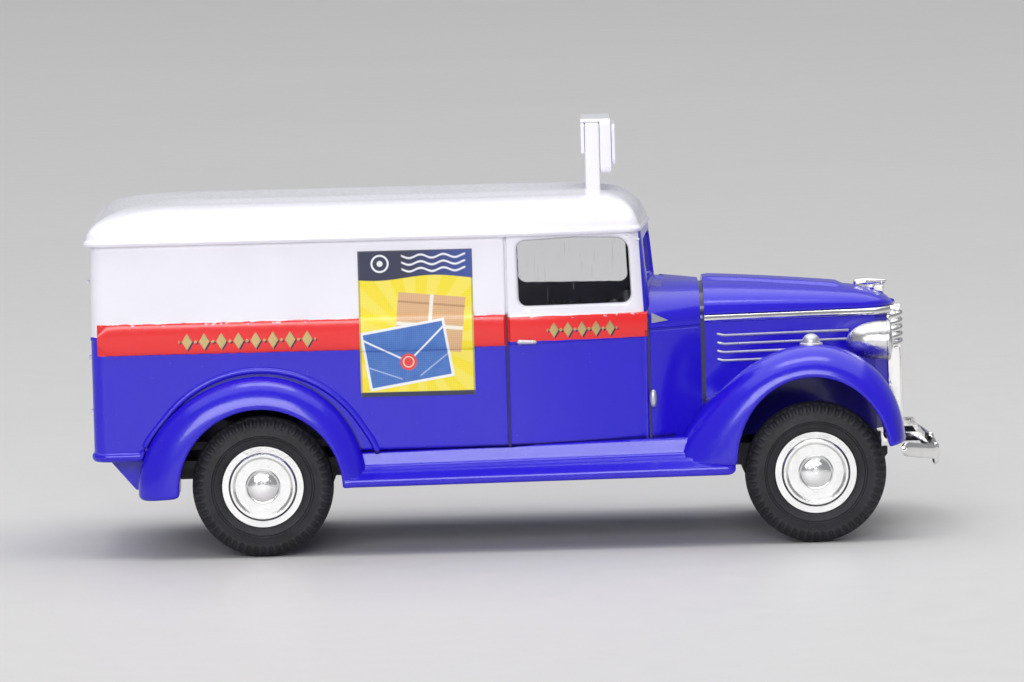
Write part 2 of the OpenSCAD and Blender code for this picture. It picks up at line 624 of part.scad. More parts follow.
// Plated disc: flat rim, raised ring, dished centre and domed hub, bored for the axle at the back.
module wheel_disc(x, side) place() color(chrome) translate([x, 0, tyre_r])
    mirror([0, side > 0 ? 0 : 1, 0]) rotate([-90, 0, 0]) translate([0, 0, wheel_face_y - 4.2])
    difference() {
        rotate_extrude() polygon(concat(
            [[0, 0.4], [hub_r, 0.4], [hub_r, 3.5], [4.85, 3.6], [4.85, 3.7], [4.1, 3.72], [3.85, 3.95],
                [3.6, 3.95], [3.3, 3.4], [2.1, 3.4], [1.95, 3.7]],
            [for (a = [20 : 14 : 90]) [1.9 * cos(a), 3.7 + 0.6 * sin(a)]], [[0, 4.3]]));
        translate([0, 0, 0.3]) cylinder(r = axle_r, h = 2.4);
        translate([0, 0, 0.3]) difference() {
            cylinder(r = 4.2, h = 1.6);
            cylinder(r = 1.6, h = 1.6);
        }
    }
module wheel_disc_front_right() wheel_disc(front_axle_x, right);
module wheel_disc_front_left() wheel_disc(front_axle_x, left);
module wheel_disc_rear_right() wheel_disc(rear_axle_x, right);
module wheel_disc_rear_left() wheel_disc(rear_axle_x, left);

// Rubber tyre: crowned tread, rounded shoulders and two grooves round the outer wall.
module tyre(x, side) place() color(black) translate([x, 0, tyre_r])
    mirror([0, side > 0 ? 0 : 1, 0]) rotate([-90, 0, 0]) translate([0, 0, wheel_face_y - tyre_w])
    rotate_extrude() polygon([
        [hub_r, 0.4], [6, 0.1], [7.4, 0.15], [8.1, 0.7], [tyre_r - 0.03, 1.4], [tyre_r, tyre_w / 2],
        [tyre_r - 0.03, tyre_w - 1.4], [8.2, tyre_w - 0.75], [7.5, tyre_w - 0.2], [6.8, tyre_w - 0.05],
        [6.7, tyre_w - 0.15], [6.6, tyre_w], [5.95, tyre_w], [5.85, tyre_w - 0.12],
        [5.75, tyre_w - 0.05], [5, tyre_w - 0.25], [hub_r, 3.5]]);
module tyre_front_right() tyre(front_axle_x, right);
module tyre_front_left() tyre(front_axle_x, left);
module tyre_rear_right() tyre(rear_axle_x, right);
module tyre_rear_left() tyre(rear_axle_x, left);

// ---------------------------------------------------------------- drawing

body_shell();
roof_panel();
bonnet();
nose_shell();
fender_set_right();
fender_set_left();
rear_valance();
base_plate();
base_screws();
interior_moulding();
dashboard();
steering_column();
steering_wheel();
windscreen_glazing();
door_window_right();
door_window_left();
rear_windows();
side_poster_right();
side_poster_left();
grille();
headlamp_right();
headlamp_left();
headlamp_lens_right();
headlamp_lens_left();
fender_lamp_right();
fender_lamp_left();
bonnet_ornament();
bonnet_strip_right();
bonnet_strip_left();
louvre_trim_right();
louvre_trim_left();
cowl_vent_right();
cowl_vent_left();
door_handles();
door_hinges();
rear_door_handle();
rear_door_hinges();
front_bumper();
bumper_guards();
bumper_arms();
sign_housing();
sign_face_front();
sign_face_rear();
sign_posts();
front_axle();
rear_axle();
wheel_disc_front_right();
wheel_disc_front_left();
wheel_disc_rear_right();
wheel_disc_rear_left();
tyre_front_right();
tyre_front_left();
tyre_rear_right();
tyre_rear_left();
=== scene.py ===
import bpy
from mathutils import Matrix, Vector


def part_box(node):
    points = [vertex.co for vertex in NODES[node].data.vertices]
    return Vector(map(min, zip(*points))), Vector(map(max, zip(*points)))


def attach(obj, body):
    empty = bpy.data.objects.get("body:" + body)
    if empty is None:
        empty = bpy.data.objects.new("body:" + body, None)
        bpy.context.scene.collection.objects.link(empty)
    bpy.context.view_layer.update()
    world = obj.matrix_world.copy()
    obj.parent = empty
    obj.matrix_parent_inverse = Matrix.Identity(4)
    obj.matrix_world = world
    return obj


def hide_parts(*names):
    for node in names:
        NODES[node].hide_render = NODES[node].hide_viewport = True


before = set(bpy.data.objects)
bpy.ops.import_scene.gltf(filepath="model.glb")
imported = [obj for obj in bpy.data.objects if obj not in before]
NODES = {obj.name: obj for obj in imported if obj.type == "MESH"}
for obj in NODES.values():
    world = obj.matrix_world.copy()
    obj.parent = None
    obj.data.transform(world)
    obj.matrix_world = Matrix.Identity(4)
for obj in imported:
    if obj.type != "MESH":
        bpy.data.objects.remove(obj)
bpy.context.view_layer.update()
from functools import partial, partialmethod, reduce
from math import acos, copysign, cos, degrees, exp, pi, radians as deg, sin, sqrt
import bmesh
import bpy
import numpy as np
from numpy import linspace
from mathutils import Matrix, Vector

# Mail delivery truck, a die-cast scale model.  The frame is in metres: +X front, +Y left, +Z up.
# Shapes are worked out in millimetres with X = 0 midway between the axles, then moved by SHIFT.
MM = 0.001


def centre_x(node):
    low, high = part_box(node)
    return (low.x + high.x) / 2 / MM


SHIFT = (centre_x("front_axle") + centre_x("rear_axle")) / 2
AXLE_X = (centre_x("front_axle") - centre_x("rear_axle")) / 2
TYRE_R = (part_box("tyre_front_right")[1].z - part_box("tyre_front_right")[0].z) / 2 / MM
TYRE_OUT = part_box("tyre_front_left")[1].y / MM
TYRE_W = TYRE_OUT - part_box("tyre_front_left")[0].y / MM

# Body: its ends, half width and heights
REAR_X = -53.1
HALF = 17.5
SILL_Z = 12.3
BELT_Z = 26.35
EAVE_Z = 37.5
CROWN_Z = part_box("roof_panel")[1].z / MM
WALL = 1.0
# The side leans in by LEAN between LEAN_Z and the eaves; the cab narrows by CAB_DRAW
LEAN = 0.2
LEAN_Z = 26
CAB_DRAW = 2.4
TAPER_X = -5
DOOR_REAR = -3.4
DOOR_FRONT = 13.5
SCREEN_X = 14.1
ROOF_FRONT = 13.4
COWL_X = 20
PILLAR_R = 2.2
BONNET_X = 43.6
# Wheel arches, as (x, z) of their centres
REAR_ARCH = (-AXLE_X - 0.2, 8.05)
FRONT_ARCH = (AXLE_X - 0.2, 9.5)
FENDER_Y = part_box("fender_set_left")[1].y / MM
TYRE_NOTCHES = 54
SIDES = (-1, 1)
SIDE_NAME = {-1: "right", 1: "left"}


def ease(t):
    t = min(max(t, 0.0), 1.0)
    return t * t * (3 - 2 * t)


def bulge(value, power):
    """The value raised to a power, with its sign kept, for squarish rounds."""
    return copysign(abs(value) ** power, value)


def full_turn(steps):
    return linspace(0, 2 * pi, steps, endpoint=False)


def wheel_point(centre, r, a, y):
    """The point at radius r and angle a round a centre (x, z)."""
    return centre[0] + r * cos(a), y, centre[1] + r * sin(a)


def unit(vector):
    return vector / np.linalg.norm(vector)


def link(obj):
    bpy.context.scene.collection.objects.link(obj)
    return obj


# Mesh tools.
def link_mesh(work):
    """A new object from a bmesh."""
    mesh = bpy.data.meshes.new("draft")
    work.to_mesh(mesh)
    work.free()
    return link(bpy.data.objects.new("draft", mesh))


def new_object(points, faces):
    mesh = bpy.data.meshes.new("draft")
    mesh.from_pydata([tuple(map(float, p)) for p in points], [], faces)
    work = bmesh.new()
    work.from_mesh(mesh)
    bpy.data.meshes.remove(mesh)
    bmesh.ops.recalc_face_normals(work, faces=work.faces)
    return link_mesh(work)


def loft(rings, closed=False):
    """A solid through rings of equally many points, capped or joined up end to end."""
    rings = np.asarray(rings, float)
    m, n = rings.shape[:2]
    faces = []
    for i in range(m if closed else m - 1):
        near, far = i * n, (i + 1) % m * n
        faces += [(near + k, near + (k + 1) % n, far + (k + 1) % n, far + k) for k in range(n)]
    if not closed:
        faces += [tuple(range(n))[::-1], tuple(range((m - 1) * n, m * n))]
    return new_object(rings.reshape(-1, 3), faces)


def apply_modifiers(obj):
    graph = bpy.context.evaluated_depsgraph_get()
    mesh = bpy.data.meshes.new_from_object(obj.evaluated_get(graph))
    obj.modifiers.clear()
    obj.data = mesh


def combine(operation, obj, *others):
    """Boolean of closed solids.  The others are used up."""
    for other in others:
        modifier = obj.modifiers.new("combine", "BOOLEAN")
        modifier.operation = operation
        modifier.solver = "MANIFOLD"
        modifier.object = other
        apply_modifiers(obj)
        bpy.data.objects.remove(other)
    return obj


unite = partial(combine, "UNION")
cut = partial(combine, "DIFFERENCE")


END_ANGLES = [deg(12), deg(35), deg(60)]


def tube(path, radius, sides=12):
    """A round bar along a path, closed with rounded ends.  radius may be a list."""
    path = np.asarray(path, float)
    radii = np.broadcast_to(np.asarray(radius, float), (len(path),))
    rings = []
    for i, (point, tangent) in enumerate(zip(path, np.gradient(path, axis=0))):
        tangent = unit(tangent)
        side = unit(np.cross(tangent, (0, 0, 1) if abs(tangent[2]) < 0.9 else (1, 0, 0)))
        up = np.cross(side, tangent)
        sizes = [(0, 1)]
        if i == 0:
            sizes = [(-cos(b), sin(b)) for b in END_ANGLES] + sizes
        if i == len(path) - 1:
            sizes += [(cos(b), sin(b)) for b in reversed(END_ANGLES)]
        for ahead, size in sizes:
            rings.append([point + radii[i] * (tangent * ahead + size * (side * cos(a) + up * sin(a)))
                          for a in full_turn(sides)])
    return loft(rings)


def groove(path, normal, depth, width):
    """A cutter for a shut line: narrow below the surface, with flared edges."""
    path, normal = np.asarray(path, float), np.asarray(normal, float)
    half = [(0.9, 0.85), (0.0, 0.55), (-0.1, 0.3), (-depth, 0.22)]
    section = half + [(h, -w) for h, w in reversed(half)]
    rings = []
    for point, tangent in zip(path, np.gradient(path, axis=0)):
        across = width * unit(np.cross(tangent, normal))
        rings.append([point + normal * h + across * w for h, w in section])
    return loft(rings)


def cylinder_y(centre, radius, y0, y1):
    return loft([[wheel_point(centre, radius, a, y) for a in full_turn(128)] for y in (y0, y1)])


def rounded_outline(circles, grow, steps=96):
    """The outline round several circles (u, v, r), grown outwards, as points (u, v)."""
    points = []
    for a in full_turn(steps):
        direction = np.array((cos(a), sin(a)))
        u, v, r = max(circles, key=lambda c: c[0] * direction[0] + c[1] * direction[1] + c[2])
        points.append(np.array((u, v)) + (r + grow) * direction)
    return points


def rounded_box(low, high, radius):
    work = bmesh.new()
    bmesh.ops.create_cube(work, size=1)
    for v in work.verts:
        v.co = [low[i] + (v.co[i] + 0.5) * (high[i] - low[i]) for i in range(3)]
    bmesh.ops.bevel(work, geom=work.edges[:], offset=radius, segments=4, profile=0.5, affect="EDGES")
    bmesh.ops.recalc_face_normals(work, faces=work.faces)
    return link_mesh(work)


def join(objects):
    """Several closed solids as one piece."""
    work = bmesh.new()
    for obj in objects:
        work.from_mesh(obj.data)
        bpy.data.objects.remove(obj)
    return link_mesh(work)


def finish_piece(obj, name, finish, replaces=(), body="truck", crease=32):
    """Scales the piece into the frame, shades it, and hangs it on its CAD body."""
    material, slot = finish
    mesh = obj.data
    obj.name = name
    mesh.name = name
    mesh.transform(Matrix.Translation((SHIFT * MM, 0, 0)) @ Matrix.Scale(MM, 4))
    mesh.polygons.foreach_set("use_smooth", [True] * len(mesh.polygons))
    mesh.set_sharp_from_angle(angle=deg(crease))
    mesh.materials.clear()
    mesh.materials.append(material)
    obj.modifiers.new("weighted", "WEIGHTED_NORMAL").keep_sharp = True
    if replaces:
        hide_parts(*replaces)
    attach(obj, body)


# Materials.
class Material:
    """A small builder for node materials.  Coordinates are in millimetres, as the shapes are."""

    def __init__(self, name):
        self.material = bpy.data.materials.new(name)
        self.material.use_nodes = True
        self.tree = self.material.node_tree
        self.tree.nodes.clear()
        output = self.tree.nodes.new("ShaderNodeOutputMaterial")
        self.shader = self.tree.nodes.new("ShaderNodeBsdfPrincipled")
        self.tree.links.new(self.shader.outputs[0], output.inputs[0])
        place = self.tree.nodes.new("ShaderNodeTexCoord")
        scale = self.node("ShaderNodeVectorMath", "SCALE", place.outputs["Object"])
        scale.inputs["Scale"].default_value = 1 / MM
        moved = self.node("ShaderNodeVectorMath", "SUBTRACT", scale.outputs[0], (SHIFT, 0, 0))
        self.place = moved.outputs[0]
        split = self.node("ShaderNodeSeparateXYZ", None, self.place)
        self.x, self.y, self.z = split.outputs
        self.colour = None

    def put(self, socket, value):
        if isinstance(value, bpy.types.NodeSocket):
            self.tree.links.new(value, socket)
        elif socket.type == "RGBA":
            socket.default_value = (*value, 1)
        else:
            socket.default_value = value

    def node(self, kind, operation, *values):
        made = self.tree.nodes.new(kind)
        if operation:
            made.operation = operation
        for socket, value in zip(made.inputs, values):
            self.put(socket, value)
        return made

    def math(self, operation, *values):
        return self.node("ShaderNodeMath", operation, *values).outputs[0]

    add = partialmethod(math, "ADD")
    sub = partialmethod(math, "SUBTRACT")
    mul = partialmethod(math, "MULTIPLY")
    div = partialmethod(math, "DIVIDE")
    power = partialmethod(math, "POWER")
    most = partialmethod(math, "MAXIMUM")
    abs = partialmethod(math, "ABSOLUTE")
    sine = partialmethod(math, "SINE")

    def length(self, a, b):
        return self.math("SQRT", self.add(self.mul(a, a), self.mul(b, b)))

    def above(self, value, limit, soft=0.03):
        """1 where value is above limit, 0 below, with a narrow soft edge."""
        gap = self.div(self.sub(value, limit), 2 * soft)
        return self.node("ShaderNodeClamp", None, self.add(gap, 0.5)).outputs[0]

    def below(self, value, limit, soft=0.03):
        return self.sub(1.0, self.above(value, limit, soft))

    def every(self, *masks):
        return reduce(self.mul, masks)

    def between(self, value, low, high, soft=0.03):
        return self.mul(self.above(value, low, soft), self.below(value, high, soft))

    def near(self, value, centre, reach, soft):
        """1 where value is within reach of centre."""
        return self.below(self.abs(self.sub(value, centre)), reach, soft)

    def texture(self, kind, vector, **values):
        made = self.tree.nodes.new(kind)
        self.put(made.inputs["Vector"], vector)
        for name, value in values.items():
            made.inputs[name].default_value = value
        return made.outputs

    def noise(self, scale, detail=3, vector=None):
        vector = vector or self.place
        return self.texture("ShaderNodeTexNoise", vector, Scale=scale, Detail=detail, Roughness=0.5)[0]

    def cells(self, scale):
        return self.texture("ShaderNodeTexVoronoi", self.place, Scale=scale)["Distance"]

    def mix(self, factor, a, b):
        made = self.tree.nodes.new("ShaderNodeMix")
        made.data_type = "RGBA"
        self.put(made.inputs[0], factor)
        self.put(made.inputs[6], a)
        self.put(made.inputs[7], b)
        return made.outputs[2]

    def paint(self, mask, colour):
        """Lays a colour over what self.colour holds so far."""
        self.colour = self.mix(mask, self.colour, colour)

    def remap(self, value, low, high, new_low, new_high):
        return self.node("ShaderNodeMapRange", None, value, low, high, new_low, new_high).outputs[0]

    def grain(self, scale, detail, low, high):
        """A noise that wanders between low and high."""
        return self.remap(self.noise(scale, detail), 0.3, 0.7, low, high)

    def bump(self, height, distance):
        """height is in 0..1 and distance the relief's real depth, in millimetres."""
        made = self.tree.nodes.new("ShaderNodeBump")
        made.inputs["Distance"].default_value = distance * MM
        self.put(made.inputs["Height"], height)
        return made.outputs[0]

    def set(self, **values):
        for name, value in values.items():
            self.put(self.shader.inputs[name.replace("_", " ")], value)

    def dust(self, colour, amount=0.35):
        """Sparse pale specks of dust and tiny chips in a finish."""
        patch = self.above(self.noise(0.35), 0.56, 0.05)
        speck = self.mul(self.below(self.cells(1.6), 0.045, 0.02), patch)
        return self.mix(self.mul(speck, amount), colour, (0.75, 0.75, 0.8))


BLUE = (0.016, 0.004, 0.60)
WHITE = (0.88, 0.865, 0.93)
RED = (0.84, 0.020, 0.022)
GOLD = (0.62, 0.47, 0.20)
NAVY = (0.012, 0.012, 0.06)
# Dark colour of the painted shade in gaps and creases
GAP_SHADE_DARK = (0.006, 0.004, 0.05)
# Rows of lozenges: first x, count, pitch, height and half length
LOZENGE_ROWS = [(-42.6, 8, 2.05, 25.95, 0.62), (1.35, 5, 1.68, 26.2, 0.56)]


def enamel(m, colour):
    """Gloss enamel: soft colour drift, orange-peel relief and a clear skin."""
    shade = m.node("ShaderNodeVectorMath", "SCALE", colour)
    m.put(shade.inputs["Scale"], m.grain(0.12, 3, 0.97, 1.02))
    peel = m.add(m.mul(m.noise(1.4, 2), 0.75), m.mul(m.noise(9.0, 2), 0.25))
    m.set(Base_Color=m.dust(shade.outputs[0]), Roughness=m.grain(2.2, 4, 0.17, 0.27),
          Normal=m.bump(peel, 0.018), Coat_Weight=0.3, Coat_Roughness=0.04, Coat_IOR=1.5,
          Specular_IOR_Level=0.5)
    return m.material


def diamonds(m, x0, count, pitch, z0, size, shift=0.0):
    """A row of printed lozenges with a small dot between neighbours."""
    along = m.sub(m.x, x0 + shift)
    up = m.sub(m.z, z0 - shift)
    local = m.sub(m.mul(m.math("FRACT", m.div(along, pitch)), pitch), pitch / 2)
    lozenge = m.below(m.add(m.abs(local), m.mul(m.abs(up), 0.62)), size, 0.04)
    gap = m.sub(m.abs(local), pitch / 2)
    dot = m.below(m.length(gap, up), 0.17, 0.04)
    return m.mul(m.most(lozenge, dot), m.between(along, 0.0, count * pitch))


def body_width(m):
    """Half width of the cargo body and cab at this X, as a node value."""
    share = m.most(m.div(m.sub(m.x, TAPER_X), DOOR_FRONT - TAPER_X), 0.0)
    return m.sub(HALF, m.mul(m.power(share, 1.7), CAB_DRAW))


def body_bands(m):
    """White over red over blue, with slightly wavy, worn edges."""
    z = m.add(m.z, m.mul(m.sub(m.noise(0.9, 3), 0.5), 0.22))
    on_door = m.above(m.x, DOOR_REAR, 0.01)
    low = m.add(24.45, m.mul(on_door, 0.5))
    high = m.sub(28.2, m.mul(on_door, 0.32))
    on_tail = m.below(m.x, REAR_X + 0.8)
    white_from = m.sub(m.sub(high, 0.3), m.mul(on_tail, 1.2))
    pillar = m.add(12.55, m.mul(m.sub(EAVE_Z, m.z), 0.045))
    white = m.every(m.above(z, white_from, 0.02), m.below(m.x, pillar, 0.03))
    red = m.every(m.between(z, low, high, 0.02), m.between(m.x, REAR_X + 0.8, DOOR_FRONT),
                  m.above(m.abs(m.y), 13.5))
    worn = m.mul(m.above(m.noise(1.3, 4), 0.63, 0.02), m.above(m.sub(m.z, high), -0.35, 0.1))
    m.colour = m.mix(white, BLUE, WHITE)
    m.paint(m.mul(red, m.sub(1.0, m.mul(worn, 0.5))), RED)


def body_lozenges(m):
    """Gold lozenges on the red band, each with a dark drop shadow.  Gives the gold's mask."""
    outside = m.above(m.abs(m.y), 14)
    for row in LOZENGE_ROWS:
        m.paint(m.mul(diamonds(m, *row, shift=0.16), outside), NAVY)
    gold = m.mul(m.most(*[diamonds(m, *row) for row in LOZENGE_ROWS]), outside)
    m.paint(gold, GOLD)
    return gold


def painted_gap_shade(m):
    """Painted shade: darker in the shut lines, in the gap along the running board and in the crease over
    the arch.
    """
    gaps = m.most(m.near(m.x, DOOR_REAR, 0.13, 0.06), m.near(m.x, DOOR_FRONT, 0.15, 0.06))
    gaps = m.mul(gaps, m.add(0.12, m.mul(m.below(m.z, 28.3, 0.2), 0.75)))
    ledge = m.add(12.1, m.mul(m.add(m.x, 22.8), 0.0197))
    sill = m.mul(m.below(m.sub(m.z, ledge), 0.2, 0.12), m.above(m.x, -20.5))
    dx = m.sub(m.x, REAR_ARCH[0])
    radius = m.length(dx, m.sub(m.z, REAR_ARCH[1]))
    forward = m.div(dx, radius)
    ahead = m.power(m.most(forward, 0.0), 2.0)
    behind = m.power(m.most(m.sub(0.0, forward), 0.0), 4.0)
    crown = m.add(m.sub(13.6, m.mul(ahead, 0.9)), m.mul(behind, 1.1))
    arch = m.mul(m.below(m.sub(radius, crown), 0.12, 0.1), 0.85)
    # Mask of the painted shade in the gaps and creases
    shade_mask = m.most(m.most(gaps, m.mul(sill, 0.8)), arch)
    return m.mul(shade_mask, m.above(m.abs(m.y), 13.5))


def painted_inside_shade(m):
    """Painted shade: the inside of the shell, and its joint with the bonnet, painted dark."""
    side = m.abs(m.y)
    tilt = m.most(m.div(m.sub(m.z, LEAN_Z), EAVE_Z - LEAN_Z), 0.0)
    corner_x = m.sub(11.8, m.mul(tilt, 1.1))
    across = m.most(m.sub(side, m.add(13.0, m.mul(tilt, 0.1))), 0.0)
    reach = m.length(across, m.most(m.sub(m.x, corner_x), 0.0))
    behind = m.most(m.below(reach, 1.6, 0.05), m.below(m.x, corner_x))
    inside = m.every(m.below(side, m.sub(body_width(m), 0.72), 0.05),
                     m.above(m.x, REAR_X + 0.62), behind, m.below(m.z, EAVE_Z + 0.5))
    return m.most(inside, m.above(m.x, COWL_X - 0.16, 0.04))


def body_paint():
    m = Material("body_enamel")
    body_bands(m)
    gold = body_lozenges(m)
    # Painted shade in the shut lines, along the running board and over the rear arch
    m.paint(painted_gap_shade(m), GAP_SHADE_DARK)
    # Painted shade: the inside of the shell and the bonnet joint in dark navy
    m.paint(painted_inside_shade(m), NAVY)
    m.set(Metallic=m.mul(gold, 0.7))
    return enamel(m, m.colour)


def fender_paint():
    """Blue enamel, with painted shade: darker inside the wheel arches."""
    m = Material("fender_enamel")
    under = m.below(m.abs(m.y), FENDER_Y - 1.0, 0.4)
    masks = []
    for centre, radius in ((REAR_ARCH, 10.6), (FRONT_ARCH, 10.9)):
        distance = m.length(m.sub(m.x, centre[0]), m.sub(m.z, centre[1]))
        masks.append(m.below(distance, radius, 0.5))
    # Painted shade inside the wheel arches
    shade = m.mul(m.mul(m.most(*masks), under), 0.88)
    return enamel(m, m.mix(shade, BLUE, (0.008, 0.004, 0.12)))


def chrome(name, tint=(0.90, 0.895, 0.88), lumps=0.02, haze=0.05):
    m = Material(name)
    lump = m.add(m.mul(m.noise(1.1, 3), 0.7), m.mul(m.noise(5.0, 3), 0.3))
    tone = m.remap(m.noise(0.5, 3), 0.35, 0.65, 0.0, 1.0)
    m.set(Base_Color=m.mix(tone, tint, tuple(0.93 * c for c in tint)), Metallic=1.0,
          Roughness=m.remap(m.noise(2.5, 4), 0.35, 0.7, haze, haze + 0.09),
          Normal=m.bump(lump, lumps))
    return m.material


def silver_paint():
    m = Material("silver_paint")
    flake = m.remap(m.cells(14.0), 0.0, 0.7, 0.0, 1.0)
    tone = m.mix(flake, (0.72, 0.71, 0.76), (0.55, 0.54, 0.6))
    m.set(Base_Color=m.dust(tone), Metallic=0.75, Roughness=m.grain(4.0, 3, 0.26, 0.42),
          Normal=m.bump(m.noise(2.6, 4), 0.05))
    return m.material


def rubber():
    m = Material("tyre_rubber")
    bloom = m.remap(m.noise(0.45, 4), 0.35, 0.7, 0.0, 1.0)
    speck = m.mul(m.below(m.cells(2.4), 0.07, 0.03), m.above(m.noise(0.6), 0.52, 0.04))
    base = m.mix(bloom, (0.010, 0.010, 0.013), (0.020, 0.020, 0.026))
    m.set(Base_Color=m.mix(m.mul(speck, 0.5), base, (0.35, 0.35, 0.37)),
          Roughness=m.grain(3.0, 4, 0.5, 0.68), Normal=m.bump(m.noise(7.0, 4), 0.03),
          Specular_IOR_Level=0.45)
    return m.material


def black_plastic():
    m = Material("black_plastic")
    tone = m.mix(m.noise(0.4, 3), (0.012, 0.012, 0.016), (0.024, 0.024, 0.030))
    m.set(Base_Color=m.dust(tone, 0.15), Roughness=m.grain(3.0, 3, 0.36, 0.5),
          Normal=m.bump(m.noise(6.0, 3), 0.02))
    return m.material


def clear_plastic():
    """Clear plastic with a few fine upright scratches."""
    m = Material("clear_plastic")
    drawn_out = m.texture("ShaderNodeMapping", m.place, Rotation=(0, 0.7, 0), Scale=(3.0, 1.0, 0.16))[0]
    lines = m.above(m.noise(2.0, 2, drawn_out), 0.71, 0.02)
    tone = m.mix(m.mul(lines, 0.3), (0.97, 0.975, 0.985), (0.8, 0.82, 0.86))
    m.set(Base_Color=tone, Roughness=m.grain(1.0, 3, 0.02, 0.06), IOR=1.2,
          Normal=m.bump(m.noise(0.35, 2), 0.03), Specular_IOR_Level=0.5,
          Transmission_Weight=m.sub(1.0, m.mul(lines, 0.25)))
    return m.material


def steel():
    m = Material("steel_wire")
    m.set(Base_Color=m.mix(m.noise(2.0, 4), (0.42, 0.42, 0.44), (0.60, 0.60, 0.62)), Metallic=1.0,
          Roughness=m.grain(6.0, 3, 0.25, 0.4), Normal=m.bump(m.noise(8.0), 0.01))
    return m.material


POSTER_LOW = (-21.0, 18.75)
POSTER_HIGH = (-7.35, 36.2)
PALE_EDGE = (0.86, 0.88, 0.92)
PALE_INK = (0.86, 0.87, 0.92)
DARK_INK = (0.018, 0.022, 0.065)


def tilted_box(m, u, v, centre, half, tilt):
    """A tilted rectangle: its mask, and the distances along and across it."""
    a, b = m.sub(u, centre[0]), m.sub(v, centre[1])
    along = m.sub(m.mul(a, cos(tilt)), m.mul(b, sin(tilt)))
    across = m.add(m.mul(a, sin(tilt)), m.mul(b, cos(tilt)))
    mask = m.mul(m.below(m.abs(along), half[0], 0.05), m.below(m.abs(across), half[1], 0.05))
    return mask, along, across


def poster_ground(m, u, v, screen):
    """Yellow in a print screen, with a fan of sun rays."""
    m.colour = m.mix(m.mul(screen, 0.35), (0.93, 0.78, 0.02), (0.80, 0.55, 0.02))
    fan = m.sine(m.mul(m.math("ARCTAN2", m.sub(v, 6.5), u), 16.0))
    m.paint(m.mul(m.above(fan, 0.0, 0.1), 0.22), (0.96, 0.90, 0.35))


def poster_parcel(m, u, v, screen):
    """A tan parcel tied with string."""
    parcel, along, across = tilted_box(m, u, v, (1.6, 8.8), (4.0, 3.3), 0.10)
    m.paint(parcel, m.mix(screen, (0.66, 0.36, 0.16), (0.76, 0.50, 0.28)))
    flap = m.mul(parcel, m.near(across, 2.2, 0.12, 0.05))
    m.paint(m.mul(flap, 0.6), (0.35, 0.17, 0.07))
    string = m.most(m.below(m.abs(along), 0.22, 0.06), m.near(across, -0.4, 0.22, 0.06))
    m.paint(m.mul(parcel, string), (0.88, 0.84, 0.72))


def poster_envelope(m, u, v, screen):
    """A blue envelope with pale folds and a round red seal."""
    edge = tilted_box(m, u, v, (-1.2, 5.0), (5.1, 3.55), -0.16)[0]
    m.paint(edge, PALE_EDGE)
    face, along, across = tilted_box(m, u, v, (-1.2, 5.0), (4.8, 3.25), -0.16)
    blue = m.mix(m.noise(0.8, 3), (0.03, 0.13, 0.50), (0.09, 0.26, 0.66))
    m.paint(face, m.mix(m.mul(screen, 0.4), blue, (0.015, 0.04, 0.22)))
    reach = m.abs(along)
    fold = m.near(across, m.sub(m.mul(reach, 0.72), 0.9), 0.13, 0.06)
    m.paint(m.mul(face, fold), PALE_EDGE)
    lower = m.abs(m.add(across, m.sub(3.4, m.mul(reach, 0.55))))
    back = m.mul(m.below(lower, 0.08, 0.06), m.above(reach, 1.1, 0.1))
    m.paint(m.mul(m.mul(face, back), 0.7), (0.55, 0.66, 0.86))
    seal = m.length(along, m.add(across, 0.9))
    m.paint(m.mul(face, m.below(seal, 1.0, 0.06)), (0.80, 0.05, 0.04))
    m.paint(m.mul(face, m.between(seal, 0.55, 0.68, 0.04)), (0.95, 0.70, 0.62))


def poster_header(m, u, v):
    """A dark header with a round postmark and its waves, a foot line and a thin border."""
    swell = m.add(14.15, m.mul(m.sine(m.add(m.mul(u, 0.46), 0.6)), 0.28))
    ink = m.mix(m.remap(u, -1.0, 6.5, 0.0, 1.0), DARK_INK, (0.03, 0.07, 0.34))
    m.paint(m.above(v, swell, 0.05), ink)
    wave = m.mul(m.sine(m.mul(u, 2.3)), 0.2)
    low, middle, high = [m.near(v, m.add(z, wave), 0.12, 0.05) for z in (15.1, 15.9, 16.7)]
    rows = m.most(m.most(low, middle), high)
    m.paint(m.mul(rows, m.between(u, -1.6, 6.0, 0.1)), PALE_INK)
    mark = m.length(m.add(u, 4.2), m.sub(v, 15.9))
    ring = m.most(m.between(mark, 0.85, 1.08, 0.04), m.below(mark, 0.35, 0.05))
    m.paint(ring, PALE_INK)
    m.paint(m.below(v, 0.55, 0.05), DARK_INK)
    border = m.most(m.above(m.abs(u), 6.62, 0.03), m.above(v, 17.3, 0.03))
    m.paint(m.mul(border, 0.5), (0.10, 0.10, 0.12))


def poster_print():
    """A generic printed poster: dark header with a postmark, an envelope over a parcel."""
    m = Material("poster_print")
    u = m.sub(m.x, (POSTER_LOW[0] + POSTER_HIGH[0]) / 2)
    v = m.sub(m.z, POSTER_LOW[1])
    rows, columns = [m.sine(m.mul(way, 13.0)) for way in (m.add(u, v), m.sub(u, v))]
    screen = m.add(0.5, m.mul(m.mul(rows, columns), 0.5))
    poster_ground(m, u, v, screen)
    poster_parcel(m, u, v, screen)
    poster_envelope(m, u, v, screen)
    poster_header(m, u, v)
    m.set(Base_Color=m.colour, Roughness=m.grain(2.0, 3, 0.30, 0.42),
          Normal=m.bump(m.add(m.mul(screen, 0.2), m.noise(1.2, 3)), 0.015),
          Specular_IOR_Level=0.5, Coat_Weight=0.3, Coat_Roughness=0.12)
    return m.material


# Body shapes.
def half_w(x):
    """Half width of the body: parallel cargo body, cab that narrows, then the cowl."""
    if x < TAPER_X:
        return HALF
    if x < DOOR_FRONT:
        return HALF - CAB_DRAW * ((x - TAPER_X) / (DOOR_FRONT - TAPER_X)) ** 1.7
    return HALF - CAB_DRAW - 4.1 * min((x - DOOR_FRONT) / (COWL_X - DOOR_FRONT), 1) ** 1.2


